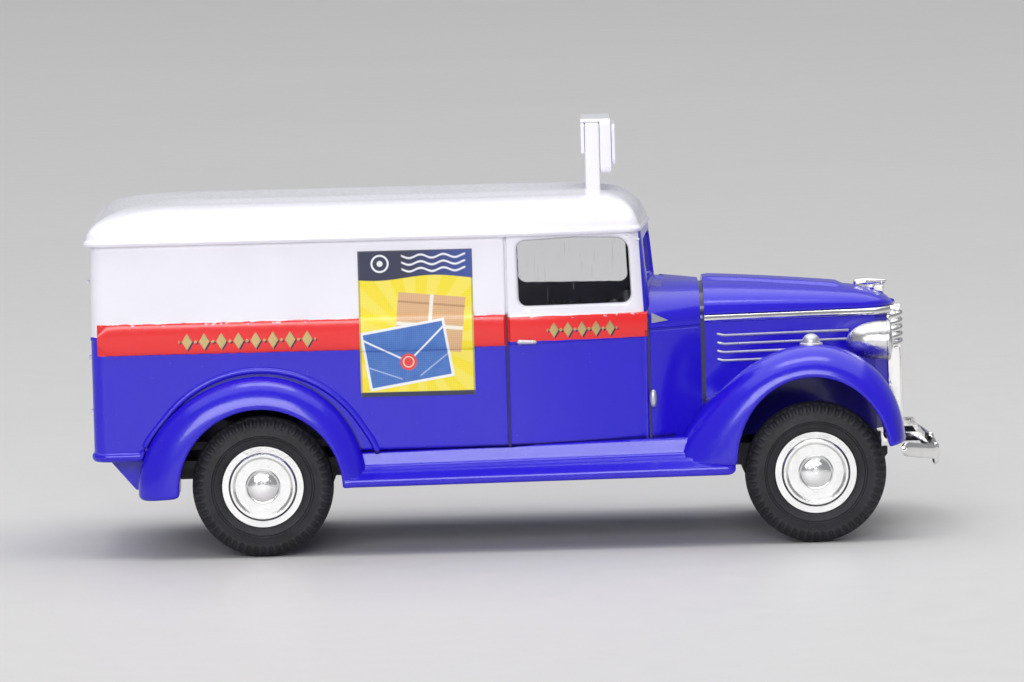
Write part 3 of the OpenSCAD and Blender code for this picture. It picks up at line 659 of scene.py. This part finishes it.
def lean(z):
    """How far the side has leaned in at height z, as a share of LEAN."""
    return max(0.0, (z - LEAN_Z) / (EAVE_Z - LEAN_Z))


def side_y(x, z):
    return half_w(x) - LEAN * lean(z)


def tail_x(z):
    return REAR_X + LEAN * lean(z)


def front_x(z):
    return SCREEN_X + 0.9 * (1 - lean(z))


def screen_surface(y, z):
    """X of the flat windscreen panes, which meet in a slight V."""
    corner = half_w(front_x(z) - PILLAR_R - 0.9) - LEAN * lean(z) - PILLAR_R
    return front_x(z) - 1 - LEAN * lean(z) + 0.08 * (corner - abs(y))


def plan_ring(z, inset, corner, front):
    """The body's plan at height z, drawn in by inset, from the tail round to the windscreen."""
    half = [(REAR_X + inset + corner * (1 - cos(a)), HALF - inset - corner * (1 - sin(a)))
            for a in linspace(0, pi / 2, 9)]
    half += [(x, half_w(x) - inset) for x in linspace(TAPER_X, front - inset - PILLAR_R - 1.1, 20)]
    wide = half_w(front - PILLAR_R - 0.9 - inset * ease((inset - 1.2) / 2)) - inset
    half += [(front - 1 - inset - PILLAR_R * (1 - sin(a)), wide - PILLAR_R * (1 - cos(a)))
             for a in linspace(deg(10), deg(90), 8)]
    x, y = half[-1]
    half.append((x + 0.04 * y, y / 2))
    nose = (half[-1][0] + 0.04 * y, 0, z)
    return [(x, y, z) for x, y in half] + [nose] + [(x, -y, z) for x, y in reversed(half)]


def body_solid(inset, z0=SILL_Z, z1=EAVE_Z, soft=False):
    levels = [z0] + ([z0 + 0.1, z0 + 0.25, z0 + 0.5] if soft else []) + list(linspace(z0 + 1.5, z1, 16))
    tucks = [0.45, 0.22, 0.08] if soft else []
    tucks += [0.0] * (len(levels) - len(tucks))
    return loft([plan_ring(z, inset + LEAN * lean(z) + tuck, 1.6, front_x(z))
                 for z, tuck in zip(levels, tucks)])


def dome_ring(x, hw, z0, z_side, z_top, ridge=0.0, steps=37):
    """A section of cowl or bonnet: flat sides, then a domed top with a raised middle."""
    ring = [(x, hw, z0)]
    for a in linspace(0, pi, steps):
        y = hw * bulge(cos(a), 0.85)
        z = z_side + (z_top - z_side) * abs(sin(a)) ** 0.9
        ring.append((x, y, z + ridge * ease((3.5 - abs(y)) / 1.1)))
    return ring + [(x, -hw, z0)]


def cowl(inset, z0, x1=COWL_X - 0.2):
    rings = []
    for x in linspace(9, x1, 30):
        top = 31.5 - 0.1 * (x - 9) - inset
        rings.append(dome_ring(x, half_w(max(x, DOOR_FRONT)) - inset, z0, 26.4 - inset, top))
    return loft(rings)


def belt_half(x):
    return 1.87 - 0.4 * max(0.0, (x - TAPER_X) / (DOOR_FRONT - TAPER_X))


def belt_out(a):
    """How far the belt moulding stands out at angle a across its width."""
    return 0.07 + 0.36 * abs(sin(a)) ** 0.6


def belt(side):
    rings = []
    for x in linspace(REAR_X + 0.8, DOOR_FRONT - 0.1, 60):
        half = belt_half(x) * min(1.0, 0.35 + (x - REAR_X - 0.8) * 0.9)
        y = side_y(x, BELT_Z)
        ring = [(x, side * (y - 0.8), BELT_Z - half)]
        ring += [(x, side * (y + belt_out(a)), BELT_Z - half * cos(a))
                 for a in linspace(0, pi, 25)]
        rings.append(ring + [(x, side * (y - 0.8), BELT_Z + half)])
    return loft(rings)


def arch_bead(side):
    path = []
    for a in linspace(17, 163, 64):
        r = 14.25 + 0.6 * ease((a - 140) / 23) + 0.3 * ease((32 - a) / 15)
        path.append(wheel_point(REAR_ARCH, r, deg(a), side * (HALF - 0.02)))
    return tube(path, 0.42, 14)


def tail_bead(z, radius, run=0):
    """A bead round the tail at height z, reaching forward by run on both sides."""
    half = [(REAR_X + 0.3 + 1.5 * (1 - cos(a)), HALF - 0.2 - 1.5 * (1 - sin(a)))
            for a in linspace(0, pi / 2, 8)]
    if run:
        half += [(x, HALF - 0.2) for x in linspace(REAR_X + 2.2, REAR_X + run, 6)]
    return tube([(x, -y, z) for x, y in reversed(half)] + [(x, y, z) for x, y in half], radius, 14)


# Windows, as the circles (across, up, radius) at their corners; the cutter's flare, as (out, grow)
DOOR_LIGHT = [(-0.9, 30.1, 1), (10.5, 30.1, 1), (9.7, 35.3, 1.6), (5, 35.6, 1.5), (-1, 35.9, 1)]
SCREEN_LIGHT = [(1.34, 31.97, 0.8), (11.6, 31.6, 0.8), (11.2, 35.2, 0.8), (1.34, 35.6, 0.8)]
REAR_LIGHT = [(2.6, 31, 0.8), (7.4, 31, 0.8), (7.4, 34.2, 0.8), (2.6, 34.2, 0.8)]
FLARE = [(1.2, 0.62), (0.3, 0.5), (0.0, 0.36), (-0.08, 0.22), (-0.2, 0.1), (-0.45, 0.0), (-3.5, 0.0)]


def light_cutter(circles, surface):
    """A window cutter with a rounded outer edge; surface(u, v, depth) places a point."""
    middle = np.mean([(u, v) for u, v, _ in circles], axis=0)
    local = [(u - middle[0], v - middle[1], r) for u, v, r in circles]
    return loft([[surface(*(p + middle), out) for p in rounded_outline(local, grow)]
                 for out, grow in FLARE])


def door_line(side, x, z1, width):
    path = [(x, side * side_y(x, z), z) for z in linspace(11.5, z1, 40)]
    return groove(path, (0, side, 0), 0.4, width)


def wheel_hole(side):
    """The hole in the body's side behind a rear fender, a little smaller than the fender's crown."""
    rings = []
    for y in (14, 22):
        ring = []
        for a in full_turn(128):
            r = min(13.5, rear_crown(a) - 0.12) if a < pi else 12.5
            ring.append(wheel_point(REAR_ARCH, r, a, side * y))
        rings.append(ring)
    return loft(rings)


def side_cuts(side):
    """The windows, shut lines and wheel hole of one side."""
    cowl_seam = [(x, side * half_w(x), 25.7) for x in linspace(DOOR_FRONT - 0.1, 20.3, 16)]
    return [light_cutter(DOOR_LIGHT, lambda u, v, out: (u, side * (side_y(u, v) + out), v)),
            light_cutter(SCREEN_LIGHT, lambda u, v, out: (screen_surface(u, v) + out, side * u, v)),
            light_cutter(REAR_LIGHT, lambda u, v, out: (tail_x(v) - out, side * u, v)),
            door_line(side, DOOR_REAR, 37.7, 0.55),
            door_line(side, DOOR_FRONT, 25.7, 0.6),
            groove(cowl_seam, (0, side, 0), 0.3, 0.4),
            wheel_hole(side)]


def tail_cuts():
    """The shut lines round the two doors in the tail."""
    low, high, out = 13.9, 36, 13
    paths = [[(tail_x(z), y, z) for z in linspace(low, high, 24)] for y in (-out, 0, out)]
    paths += [[(tail_x(z), y, z) for y in linspace(-out, out, 12)] for z in (low, high)]
    return [groove(path, (-1, 0, 0), 0.35, 0.45) for path in paths]


def make_body():
    body = unite(body_solid(0, soft=True), cowl(0, SILL_Z))
    cut(body, body_solid(WALL, SILL_Z - 1, EAVE_Z + 1),
            cowl(WALL, SILL_Z - 1, COWL_X + 0.5))
    # A bulkhead that closes the cowl; the body paint colours it dark as painted shade of the joint with
    # the bonnet
    bulkhead = loft([dome_ring(x, half_w(COWL_X) - 0.35, SILL_Z, 26.2, 30.0)
                     for x in (COWL_X - 0.9, COWL_X + 0.32)])
    unite(body, bulkhead, belt(1), belt(-1), arch_bead(1), arch_bead(-1),
            tail_bead(SILL_Z, 0.6, 5.6), tail_bead(26.4, 0.4))
    for side in SIDES:
        cut(body, *side_cuts(side))
    return cut(body, *tail_cuts())


# The roof's rolled lip, as (height over the eaves, how far in from the body, corner radius)
ROOF_LIP = [(0, -0.15, 1.8), (0.02, -0.4, 1.8), (0.15, -0.55, 1.8), (0.37, -0.62, 1.8), (0.6, -0.55, 1.8),
            (0.74, -0.38, 1.9)]


def make_roof():
    """A dome with a rolled lip, hollow underneath."""
    rise = CROWN_Z - EAVE_Z - 1.1
    rows = [(EAVE_Z + z, inset, corner) for z, inset, corner in ROOF_LIP]
    rows += [(EAVE_Z + 0.8 + rise * sin(a), -0.3 + 7.8 * (1 - cos(a)), 2 + 4 * (1 - cos(a)))
             for a in linspace(0.04, pi / 2, 18)]
    rows += [(CROWN_Z - 0.17, 9, 6), (CROWN_Z - 0.08, 10.5, 5), (CROWN_Z, 12, 4)]
    roof = loft([plan_ring(z, i, corner, ROOF_FRONT + 0.5 * max(i, 0)) for z, i, corner in rows])
    hollow = loft([plan_ring(EAVE_Z + z, 1.2 + i, 1.6, ROOF_FRONT + 0.5 * i)
                   for z, i in ((-1, 0), (0.8, 0), (2.2, 1.4), (3.2, 4), (3.5, 7))])
    return cut(roof, hollow)


def drip_moulding(side):
    """Rain moulding that rises over the door and runs down the windscreen pillar."""
    path = []
    xs, zs = (-4, 0, 4.4, 8.0, 10.4, 11.5, 12.5), (37.62, 38.02, 38.25, 38.1, 37.7, 37.2, 36.6)
    for x in linspace(-4, 12.5, 40):
        z = np.interp(x, xs, zs)
        out = np.interp(x, (-4, 8, 11, 12.5), (0.5, 0.42, 0.1, -0.25))
        path.append((x, side * (side_y(x, 37) + out), z))
    return tube(path, 0.2, 10)


def bonnet_solid(inset, drop):
    rings = []
    for u in 1 - linspace(1, 0, 60) ** 1.7:
        x = COWL_X + 0.3 + inset + (BONNET_X - COWL_X - 0.3 - 2 * inset) * u
        s = (x - COWL_X) / (BONNET_X - COWL_X)
        width = (11 - 4.4 * s) * sqrt(max(1 - s ** 12, 0.02))
        top = 30.6 - 1.9 * s ** 1.3 - 1.9 * s ** 14
        ridge = 0.32 * (0.6 + 0.4 * ease((x - 20.3) / 0.8)) * ease((37.4 - x) / 0.9)
        rings.append(dome_ring(x, width - inset, 27 - drop, 27.2 - inset / 2, top - inset,
                               0.0 if inset else ridge, 61))
    return loft(rings)


def make_bonnet():
    return cut(bonnet_solid(0, 0), bonnet_solid(0.9, 1))


def nose_w(x):
    return 10.65 - 4.4 / (BONNET_X - COWL_X) * (x - COWL_X)


# Fenders and boards.
REAR_OPEN = 9.75


def rear_crown(a):
    return 13.6 - 0.9 * max(cos(a), 0) ** 2 + 1.1 * max(-cos(a), 0) ** 4


def front_open(a):
    return 9.15 + 1.3 * sin(a) ** 2


def front_crown(a):
    if a < deg(90):
        return 14.05 - 2.8 * max(cos(a), 0) ** 2.5
    return 14.05 - 0.3 * sin(2 * (a - deg(90))) + 2 * max(0, (degrees(a) - 125) / 45) ** 2


def fender_section(opening, crown, crown_y, inner_y, drop, hollow):
    """(radius, y) points: rounded lip, quarter ellipse to the crown, then in to the inner edge.

    hollow is 0 for the outer skin, or how far inside it the cut-out runs.
    """
    top, y_out, inner = crown - hollow, FENDER_Y - hollow, inner_y - hollow
    if hollow:
        section = [(opening - 1.5, y_out)]
    else:
        section = [(opening, y_out - 0.9)]
        section += [(opening + 0.4 - 0.4 * cos(b), y_out - 0.4 + 0.4 * sin(b))
                    for b in linspace(0, pi / 2, 6)]
    section += [(opening + (top - opening) * sin(b), crown_y + (y_out - crown_y) * cos(b))
                for b in linspace(0.02 if hollow else 0.16, pi / 2, 22)]
    section += [(top - drop * share ** 1.6, crown_y + (inner - crown_y) * share)
                for share in linspace(0.12, 1, 8)]
    return section + [(opening - (1.5 if hollow else 0), inner)]


def fender_ring(centre, a, tuck, opening, crown, crown_y, inner_y, drop, hollow):
    """A section at angle a round the wheel, drawn in towards its middle by tuck."""
    middle_r, middle_y = (opening + crown - hollow) / 2, (crown_y + FENDER_Y - hollow) / 2
    ring = []
    for r, y in fender_section(opening, crown, crown_y, inner_y, drop, hollow):
        r += (middle_r - r) * tuck
        y += (middle_y - y) * tuck
        ring.append(wheel_point(centre, r, a, y))
    return ring


def fender_loft(kind, hollow, a0, a1):
    angles = [deg(a) for a in linspace(a0, a1, 60)]
    tucks = [0.0] * len(angles)
    if not hollow:
        first, last = angles[0], angles[-1]
        angles = [first, first + 0.006, first + 0.02] + angles[1:-2]
        angles += [last - 0.05, last - 0.03, last - 0.015, last - 0.004, last]
        tucks = [0.12, 0.05, 0.0] + [0.0] * 57 + [0.0, 0.03, 0.1, 0.22, 0.34]
    rings = []
    for a, tuck in zip(angles, tucks):
        if kind == "rear":
            shape = (REAR_OPEN, rear_crown(a), 17.4, 14.4, 0, hollow)
            rings.append(fender_ring(REAR_ARCH, a, tuck, *shape))
        else:
            drop = 2.4 * (1 - ease((degrees(a) - 135) / 12))
            shape = (front_open(a), front_crown(a), 15.8, 9.6, drop, hollow)
            rings.append(fender_ring(FRONT_ARCH, a, tuck, *shape))
    return loft(rings)


# The running board's section, as (y, z) points
BOARD = [(13.5, 8.4), (13.5, 12.0), (16.9, 12.1), (17.25, 12.08), (17.45, 11.95), (17.55, 11.7),
         (17.68, 10.9), (17.78, 10.6), (17.98, 10.52), (18.14, 10.38), (18.2, 10.2), (18.6, 10.02),
         (18.8, 10.06), (18.98, 9.96), (19.06, 9.76), (19.5, 9.52), (20.0, 9.3), (20.3, 9.14),
         (20.42, 8.92), (20.42, 8.5), (20.3, 8.28), (20.1, 8.2), (14.5, 8.2)]


def board_loft():
    """The running board, which climbs a little towards the cab."""
    rings = []
    for x in [*linspace(-23.2, 22.2, 46), 22.6, 22.95, 23.2, 23.35, 23.42]:
        share = (x + 23.2) / 46.6
        end = 1 - sqrt(max(1 - (max(x - 22.4, 0) / 1.03) ** 2, 0))
        ring = []
        for y, z in BOARD:
            rise = share * (0.35 + 0.55 * (z - 8.2) / 3.9)
            ring.append((x, y - 0.5 * end * ease((y - 19) / 1.4), max(z, 8.2 + 0.7 * end) + rise))
        rings.append(ring)
    return loft(rings)


def make_fender_set(side):
    piece = fender_loft("rear", 0, 0.8, 184)
    unite(piece, fender_loft("front", 0, 12, 180), board_loft())
    cut(piece, fender_loft("rear", 0.9, 11, 167), fender_loft("front", 0.9, 24, 162),
            body_solid(-0.03, SILL_Z - 0.03), cowl(-0.03, SILL_Z - 0.03),
            cylinder_y(REAR_ARCH, 9, 13.7, 19.7), cylinder_y(FRONT_ARCH, 9, 13.7, 19.7))
    corners = ((20, -1), (42.4, -1), (42.4, 1), (20, 1))
    nose = [[(x, s * (nose_w(x) + 0.03), z) for x, s in corners] for z in (8, 27)]
    cut(piece, loft(nose))
    if side < 0:
        piece.data.transform(Matrix.Scale(-1, 4, (0, 1, 0)))
        piece.data.flip_normals()
    return piece


# Wheels.
def tyre_section(notch):
    """(radius, width) points from bead to bead; notch is 1 where the shoulders are cut."""
    section = [(5.0, 0.5), (5.0, 3.7), (5.3, 3.98), (5.8, 4.06), (5.92, 3.94), (6.08, 3.96), (6.18, 4.13)]
    for t in linspace(pi / 2, -pi / 2, 44):
        r = 6.5 + (TYRE_R - 6.5) * abs(cos(t)) ** 0.62
        w = bulge(sin(t), 0.8) * (TYRE_W / 2 - 0.02)
        shoulder = notch * ease((r - 7.1) / 0.25) * ease((abs(w) - 1.15) / 0.2)
        r -= 0.13 * shoulder
        w -= copysign(0.16 * shoulder, w)
        r -= 0.16 * sum(exp(-((w - g) / 0.1) ** 2) for g in (-0.75, 0, 0.75))
        w -= copysign(0.16 * exp(-((r - 6.98) / 0.12) ** 2) if abs(w) > 1 else 0, w)
        section.append((r, TYRE_W / 2 + w))
    return section + [(5.9, 0.12)]


def tyre(x, side):
    """Treaded tyre with notched shoulders and two rings on its wall."""
    plain, notched = tyre_section(0), tyre_section(1)
    rings = []
    for i, a in enumerate(full_turn(4 * TYRE_NOTCHES)):
        section = notched if i % 4 in (1, 2) else plain
        rings.append([wheel_point((x, TYRE_R), r, a, side * (TYRE_OUT - TYRE_W + w)) for r, w in section])
    return loft(rings, closed=True)


# Small parts.
def turned_x(centre, profile):
    """A solid turned round an X axis; profile is a list of (x, radius)."""
    return loft([[(centre[0] + x, centre[1] + r * cos(a), centre[2] + r * sin(a))
                  for a in full_turn(56)] for x, r in profile])


LAMP = (42.4, 11, 23.35)


def headlamp(side):
    """A plated shell with a turned rim, on a waisted stalk."""
    x, y, z = LAMP[0], side * LAMP[1], LAMP[2]
    profile = [(-1 - 4.1 * sin(a), 2.33 * cos(a)) for a in linspace(deg(88), 0, 22)]
    profile += [(-0.35, 2.33), (-0.3, 2.42), (-0.1, 2.45), (0.08, 2.38), (0.2, 2.2), (0.2, 1.98),
                (0.1, 1.92), (-0.35, 1.9), (-0.45, 1.5), (-0.6, 0.6), (-0.62, 0.05)]
    stalk = tube([(x - 2, y - side * t, z - 0.02 * t) for t in linspace(1.6, 3.6, 6)],
                 [0.75, 0.62, 0.55, 0.52, 0.55, 0.6], 16)
    return join([turned_x((x, y, z), profile), stalk])


def fender_lamp(side):
    """Parking lamp: a dome on a low flange."""
    x, y = AXLE_X - 0.1, side * 15.4
    rows = [(23.25, 1.4), (23.62, 1.38), (23.72, 1.26), (23.74, 1.12)]
    rows += [(23.74 + 1.05 * sin(a), 1.12 * cos(a)) for a in linspace(0.1, deg(88), 14)]
    return loft([[(x + r * cos(a), y + r * sin(a), z) for a in full_turn(40)] for z, r in rows])


def ornament():
    """Bonnet ornament: a tapering bar over a ribbed lobe, carried by a stem and a foot."""
    path = [(x, 0, 29.42 + 0.1 * (x - 39) / 3.6) for x in linspace(39.1, 42.5, 12)]
    bar = tube(path, np.interp(linspace(0, 1, 12), (0, 0.25, 1), (0.42, 0.5, 0.22)), 16)
    lobe = tube([(x, 0, 29.05 - 0.12 * (x - 39.2)) for x in linspace(39.3, 41, 26)],
                [0.55 + 0.05 * sin(i * 1.6) - 0.006 * i for i in range(26)], 16)
    stem = tube([(42.15, 0, z) for z in linspace(28.2, 29.4, 5)], 0.27)
    foot = rounded_box((39.1, -0.32, 28.2), (42.3, 0.32, 29.0), 0.12)
    return join([bar, lobe, stem, foot])


def bonnet_strip(side):
    """Half-round moulding under the bonnet's edge that thickens towards the grille."""
    rings = []
    for x in linspace(COWL_X + 0.3, 42.9, 40):
        y = nose_w(x) + 0.02 - 1.2 * (max(x - 41, 0) / 1.5) ** 1.5
        out = 0.42 + 0.2 * ease((x - 34) / 7)
        arc = [(x, side * (y + out * sin(a) ** 0.7), 26.47 - 0.46 * cos(a))
               for a in linspace(0.1, pi - 0.1, 11)]
        rings.append([(x, side * y, 25.98), *arc, (x, side * y, 26.95)])
    return loft(rings)


def louvre_trim(side):
    bars = []
    for z in (21.3, 22.3, 23.3, 24.35):
        xs = linspace(21.9, 22 + (15.6 if z > 23 else 9), 22)
        bars.append(tube([(x, side * (nose_w(x) + 0.1 - 0.08 * ease((22.5 - x) / 0.7)),
                           z + 0.2 * ease((22.6 - x) / 0.8)) for x in xs], 0.17))
    return join(bars)


def bumper_point(y):
    u = min(abs(y) / 17.6, 1)
    return 48.3 - 4.8 * u ** 2.6, 8.75 + 2.1 * u ** 1.5


def bumper():
    """A swept bar with closed ends."""
    ends = [17.15, 17.4, 17.55]
    rings = []
    for y in [-y for y in reversed(ends)] + list(linspace(-16.8, 16.8, 61)) + ends:
        x, z = bumper_point(y)
        high = 0.87 * sqrt(max(1 - (max(abs(y) - 16.8, 0) / 0.8) ** 2, 0.05))
        rings.append([(x + 0.02 + 0.32 * bulge(cos(a), 0.7) + 0.06 * cos(2 * a), y,
                       z + high * bulge(sin(a), 0.8)) for a in full_turn(24)])
    return loft(rings)


def guard(side):
    """Upright over-rider: a tall rounded pad clasped over the bar."""
    rings = []
    for t in linspace(-88, 88, 19):
        size = cos(deg(t)) ** 0.45
        z = 9.02 + 1.3 * sin(deg(t))
        rings.append([(47.95 + 0.48 * size * bulge(cos(a), 0.8),
                       side * 6 + 0.52 * size * bulge(sin(a), 0.8), z) for a in full_turn(20)])
    return loft(rings)


def grille():
    """Frame, slats and centre rib, with wings that sweep back round the nose."""
    parts = [rounded_box((42.43, -4.3, 12.4), (42.93, 4.3, 26.6), 0.12),
             rounded_box((42.6, -0.34, 12.3), (44.45, 0.34, 26.7), 0.14),
             rounded_box((42.43, -4.6, 11.95), (44.25, 4.6, 12.75), 0.2)]
    parts += [rounded_box((42.43, s * 4.2 - 0.32, 12.4), (44.05, s * 4.2 + 0.32, 21.9), 0.14)
              for s in SIDES]
    for z in np.arange(13.4, 21.6, 0.8):
        parts.append(tube([(43.75 - 0.01 * y * y, y, z) for y in linspace(-4.2, 4.2, 9)], 0.21, 10))
    for z in np.arange(22.3, 26.0, 0.85):
        path = [(44.32 - 1.85 * (abs(y) / 6.8) ** 2.4, y, z) for y in linspace(-6.75, 6.75, 33)]
        parts.append(tube(path, 0.27))
    return join(parts)


def plate_x(x0, x1, half, z0, z1, radius, soft=0.1):
    """A plate with rounded corners and edges that stands across the roof."""
    z_mid = (z0 + z1) / 2
    circles = [(y, z - z_mid, radius) for y in (-half + radius, half - radius)
               for z in (z0 + radius, z1 - radius)]
    rows = [(x0, -soft), (x0 + soft * 0.3, -soft * 0.3), (x0 + soft, 0), (x1 - soft, 0),
            (x1 - soft * 0.3, -soft * 0.3), (x1, -soft)]
    return loft([[(x, y, z + z_mid) for y, z in rounded_outline(circles, grow, 72)] for x, grow in rows])


def sign_housing():
    return join([plate_x(8.33, 9.72, 5.4, 43.9, 50.45, 0.8, 0.2),
                 rounded_box((6.05, -4.6, 49.98), (8.4, 4.6, 50.43), 0.14)])


def sign_posts():
    return join([rounded_box((6.55, y - 0.8, 41.2), (8.3, y + 0.8, 49.96), 0.25) for y in (-4.5, 4.5)])


def poster_sheet(side):
    """The printed sheet, which follows the body's lean and drapes over the belt moulding."""
    half = belt_half(-14) + 0.3
    rings = []
    for z in linspace(POSTER_LOW[1], POSTER_HIGH[1], 150):
        share = (z - BELT_Z) / half
        out = belt_out(acos(-share)) if abs(share) < 1 else 0.0
        y = side_y(-14, z) + out
        rings.append([(POSTER_LOW[0], side * (y - 0.05), z), (POSTER_HIGH[0], side * (y - 0.05), z),
                      (POSTER_HIGH[0], side * (y + 0.07), z), (POSTER_LOW[0], side * (y + 0.07), z)])
    return loft(rings)


def door_glass(side):
    """A clear sheet that follows the door from the inside."""
    zs = linspace(28.6, 37.2, 12)
    rings = []
    for x in linspace(-2.6, 11.7, 24):
        rings.append([(x, side * (side_y(x, z) - 1.03), z) for z in zs]
                     + [(x, side * (side_y(x, z) - 1.4), z) for z in reversed(zs)])
    return loft(rings)


def handles():
    """Tapering door levers on round bosses."""
    radii = [0.3, 0.3, 0.29, 0.28, 0.27, 0.26, 0.25, 0.24]
    parts = []
    for s in SIDES:
        parts.append(tube([(x, s * (17.98 - 0.06 * (x + 2)), 24.9 - 0.03 * (x + 2))
                           for x in linspace(-2.0, -0.1, 8)], radii))
        parts.append(tube([(-1.85, s * y, 24.9) for y in (17.35, 17.6, 17.9)], [0.42, 0.38, 0.3], 14))
    return join(parts)


def hinges():
    return join([tube([(13.88, s * 15.55, z) for z in linspace(16.8, 18.2, 6)],
                      [0.36, 0.42, 0.44, 0.44, 0.42, 0.36], 14) for s in SIDES])


# Building.
def make_finishes():
    """Each finish: its material, and the slot of the record that it stands for."""
    return {
        "body": (body_paint(), "body_paint"),
        "blue": (enamel(Material("blue_enamel"), BLUE), "body_paint"),
        "white": (enamel(Material("white_enamel"), WHITE), "white_paint"),
        "fender": (fender_paint(), "body_paint"),
        "chrome": (chrome("chrome_plate"), "chrome_plate"),
        "disc": (chrome("disc_plate", (0.94, 0.94, 0.93), 0.03, 0.10), "chrome_plate"),
        "lamp": (chrome("lamp_plate", (0.76, 0.755, 0.76), 0.05, 0.20), "chrome_plate"),
        "silver": (silver_paint(), "silver_paint"),
        "black": (black_plastic(), "black_plastic"),
        "rubber": (rubber(), "tyre_rubber"),
        "poster": (poster_print(), "printed_sticker"),
        "clear": (clear_plastic(), "clear_plastic"),
        "steel": (steel(), "steel_wire"),
    }


def build_centre(finishes):
    """The pieces on the middle line, and those made for both sides at once."""
    rows = [
        (make_body(), "body_shell_skin", "body", ["body_shell"]),
        (make_roof(), "roof_skin", "white", ["roof_panel"]),
        (join([drip_moulding(s) for s in SIDES]), "drip_mouldings", "white", []),
        (make_bonnet(), "bonnet_skin", "blue", ["bonnet"]),
        (grille(), "grille_bars", "chrome", ["grille"]),
        (ornament(), "ornament_skin", "chrome", ["bonnet_ornament"]),
        (bumper(), "bumper_bar", "chrome", ["front_bumper"]),
        (join([guard(s) for s in SIDES]), "bumper_pads", "chrome", ["bumper_guards"]),
        (handles(), "door_levers", "silver", ["door_handles"]),
        (hinges(), "hinge_knuckles", "silver", ["door_hinges"]),
        (sign_housing(), "sign_case", "white", ["sign_housing"]),
        (sign_posts(), "sign_legs", "white", ["sign_posts"]),
        (plate_x(9.75, 10.2, 5.0, 44.85, 49.75, 0.7), "sign_panel_front", "white", ["sign_face_front"]),
        (plate_x(6.07, 6.5, 5.1, 46.25, 49.95, 0.6), "sign_panel_rear", "white", ["sign_face_rear"]),
    ]
    for obj, name, finish, nodes in rows:
        finish_piece(obj, name, finishes[finish], nodes)


# Pieces made once for each side: maker, piece name, finish and CAD node
SIDE_PIECES = [
    (make_fender_set, "fenders_", "fender", "fender_set_"),
    (headlamp, "lamp_", "lamp", "headlamp_"),
    (fender_lamp, "parking_lamp_", "silver", "fender_lamp_"),
    (bonnet_strip, "strip_", "chrome", "bonnet_strip_"),
    (louvre_trim, "louvres_", "silver", "louvre_trim_"),
    (poster_sheet, "poster_", "poster", "side_poster_"),
]


def build_sides(finishes):
    for side in SIDES:
        name = SIDE_NAME[side]
        for make, piece, finish, node in SIDE_PIECES:
            finish_piece(make(side), piece + name, finishes[finish], [node + name])
        for end, x in (("front", AXLE_X), ("rear", -AXLE_X)):
            finish_piece(tyre(x, side), f"tread_{end}_{name}", finishes["rubber"],
                         [f"tyre_{end}_{name}"], end + "_wheels", 40)
    for side in SIDES:
        name = SIDE_NAME[side]
        finish_piece(door_glass(side), "door_glass_" + name, finishes["clear"], ["door_window_" + name])


# Finishes of the pieces shown as the CAD made them, by words in their names; the rest are black
CARRIED = {"clear": ("glazing", "window", "lens"), "silver": ("screws", "cowl_vent", "rear_door"),
           "steel": ("axle",), "chrome": ("arms",), "disc": ("wheel_disc",),
           "fender": ("nose_shell", "rear_valance")}


def finish_carried(finishes):
    for node, obj in NODES.items():
        if obj.hide_render:
            continue
        matches = [finish for finish, words in CARRIED.items() if any(word in node for word in words)]
        obj.data.materials.clear()
        obj.data.materials.append(finishes[matches[0] if matches else "black"][0])


# Camera, light and floor.
def set_camera():
    """The camera looks level across the truck's right side from a metre away."""
    pitch, yaw, roll = deg(5.318), deg(-0.056), deg(1.518)
    target = Vector((-0.339, -19.0, 25.157)) * MM
    level = cos(pitch)
    forward = Vector((sin(yaw) * level, cos(yaw) * level, -sin(pitch)))
    across = forward.cross(Vector((0, 0, 1))).normalized()
    up = across.cross(forward)
    x_axis = cos(roll) * across - sin(roll) * up
    y_axis = sin(roll) * across + cos(roll) * up
    place = Matrix((x_axis, y_axis, -forward)).transposed().to_4x4()
    place.translation = target - forward
    data = bpy.data.cameras.new("camera")
    data.sensor_width = 36
    data.lens = 295.23
    data.clip_start, data.clip_end = 0.01, 20
    camera = link(bpy.data.objects.new("camera", data))
    camera.matrix_world = place
    bpy.context.scene.camera = camera


def area_light(name, place, target, size, power, colour=(1, 1, 1)):
    data = bpy.data.lights.new(name, "AREA")
    data.shape = "RECTANGLE"
    data.size, data.size_y = size
    data.energy = power
    data.color = colour
    light = link(bpy.data.objects.new(name, data))
    light.location = place
    light.rotation_euler = (Vector(target) - Vector(place)).to_track_quat("-Z", "Y").to_euler()
    light.visible_camera = False


def floor():
    """A wide pale card that lies flat under the truck."""
    sheet = new_object([(6 * cos(a), 6 * sin(a), 0) for a in full_turn(64)], [tuple(range(64))])
    sheet.name = "floor"
    m = Material("floor_card")
    m.set(Base_Color=m.mix(m.noise(0.01, 2), (0.60, 0.588, 0.58), (0.63, 0.617, 0.608)),
          Roughness=m.grain(0.2, 3, 0.5, 0.6), Normal=m.bump(m.noise(0.8, 3), 0.02))
    sheet.data.materials.append(m.material)


def lighting():
    scene = bpy.context.scene
    scene.view_settings.view_transform = "Standard"
    world = bpy.data.worlds.new("studio")
    world.use_nodes = True
    sky = world.node_tree.nodes["Background"]
    sky.inputs["Color"].default_value = (0.93, 0.95, 1.0, 1)
    sky.inputs["Strength"].default_value = 0.32
    scene.world = world
    area_light("ceiling", (0, 0.5, 1.5), (0, 0.5, 0), (2.8, 3.0), 29.0)
    area_light("overhead", (0, -0.06, 0.4), (0, 0, 0.02), (0.26, 0.10), 0.35)
    area_light("front_fill", (-0.2, -1.3, 0.52), (0, 0, 0.03), (1.0, 0.5), 9.6, (0.98, 0.98, 1.0))


all_finishes = make_finishes()
build_centre(all_finishes)
build_sides(all_finishes)
finish_carried(all_finishes)
set_camera()
floor()
lighting()
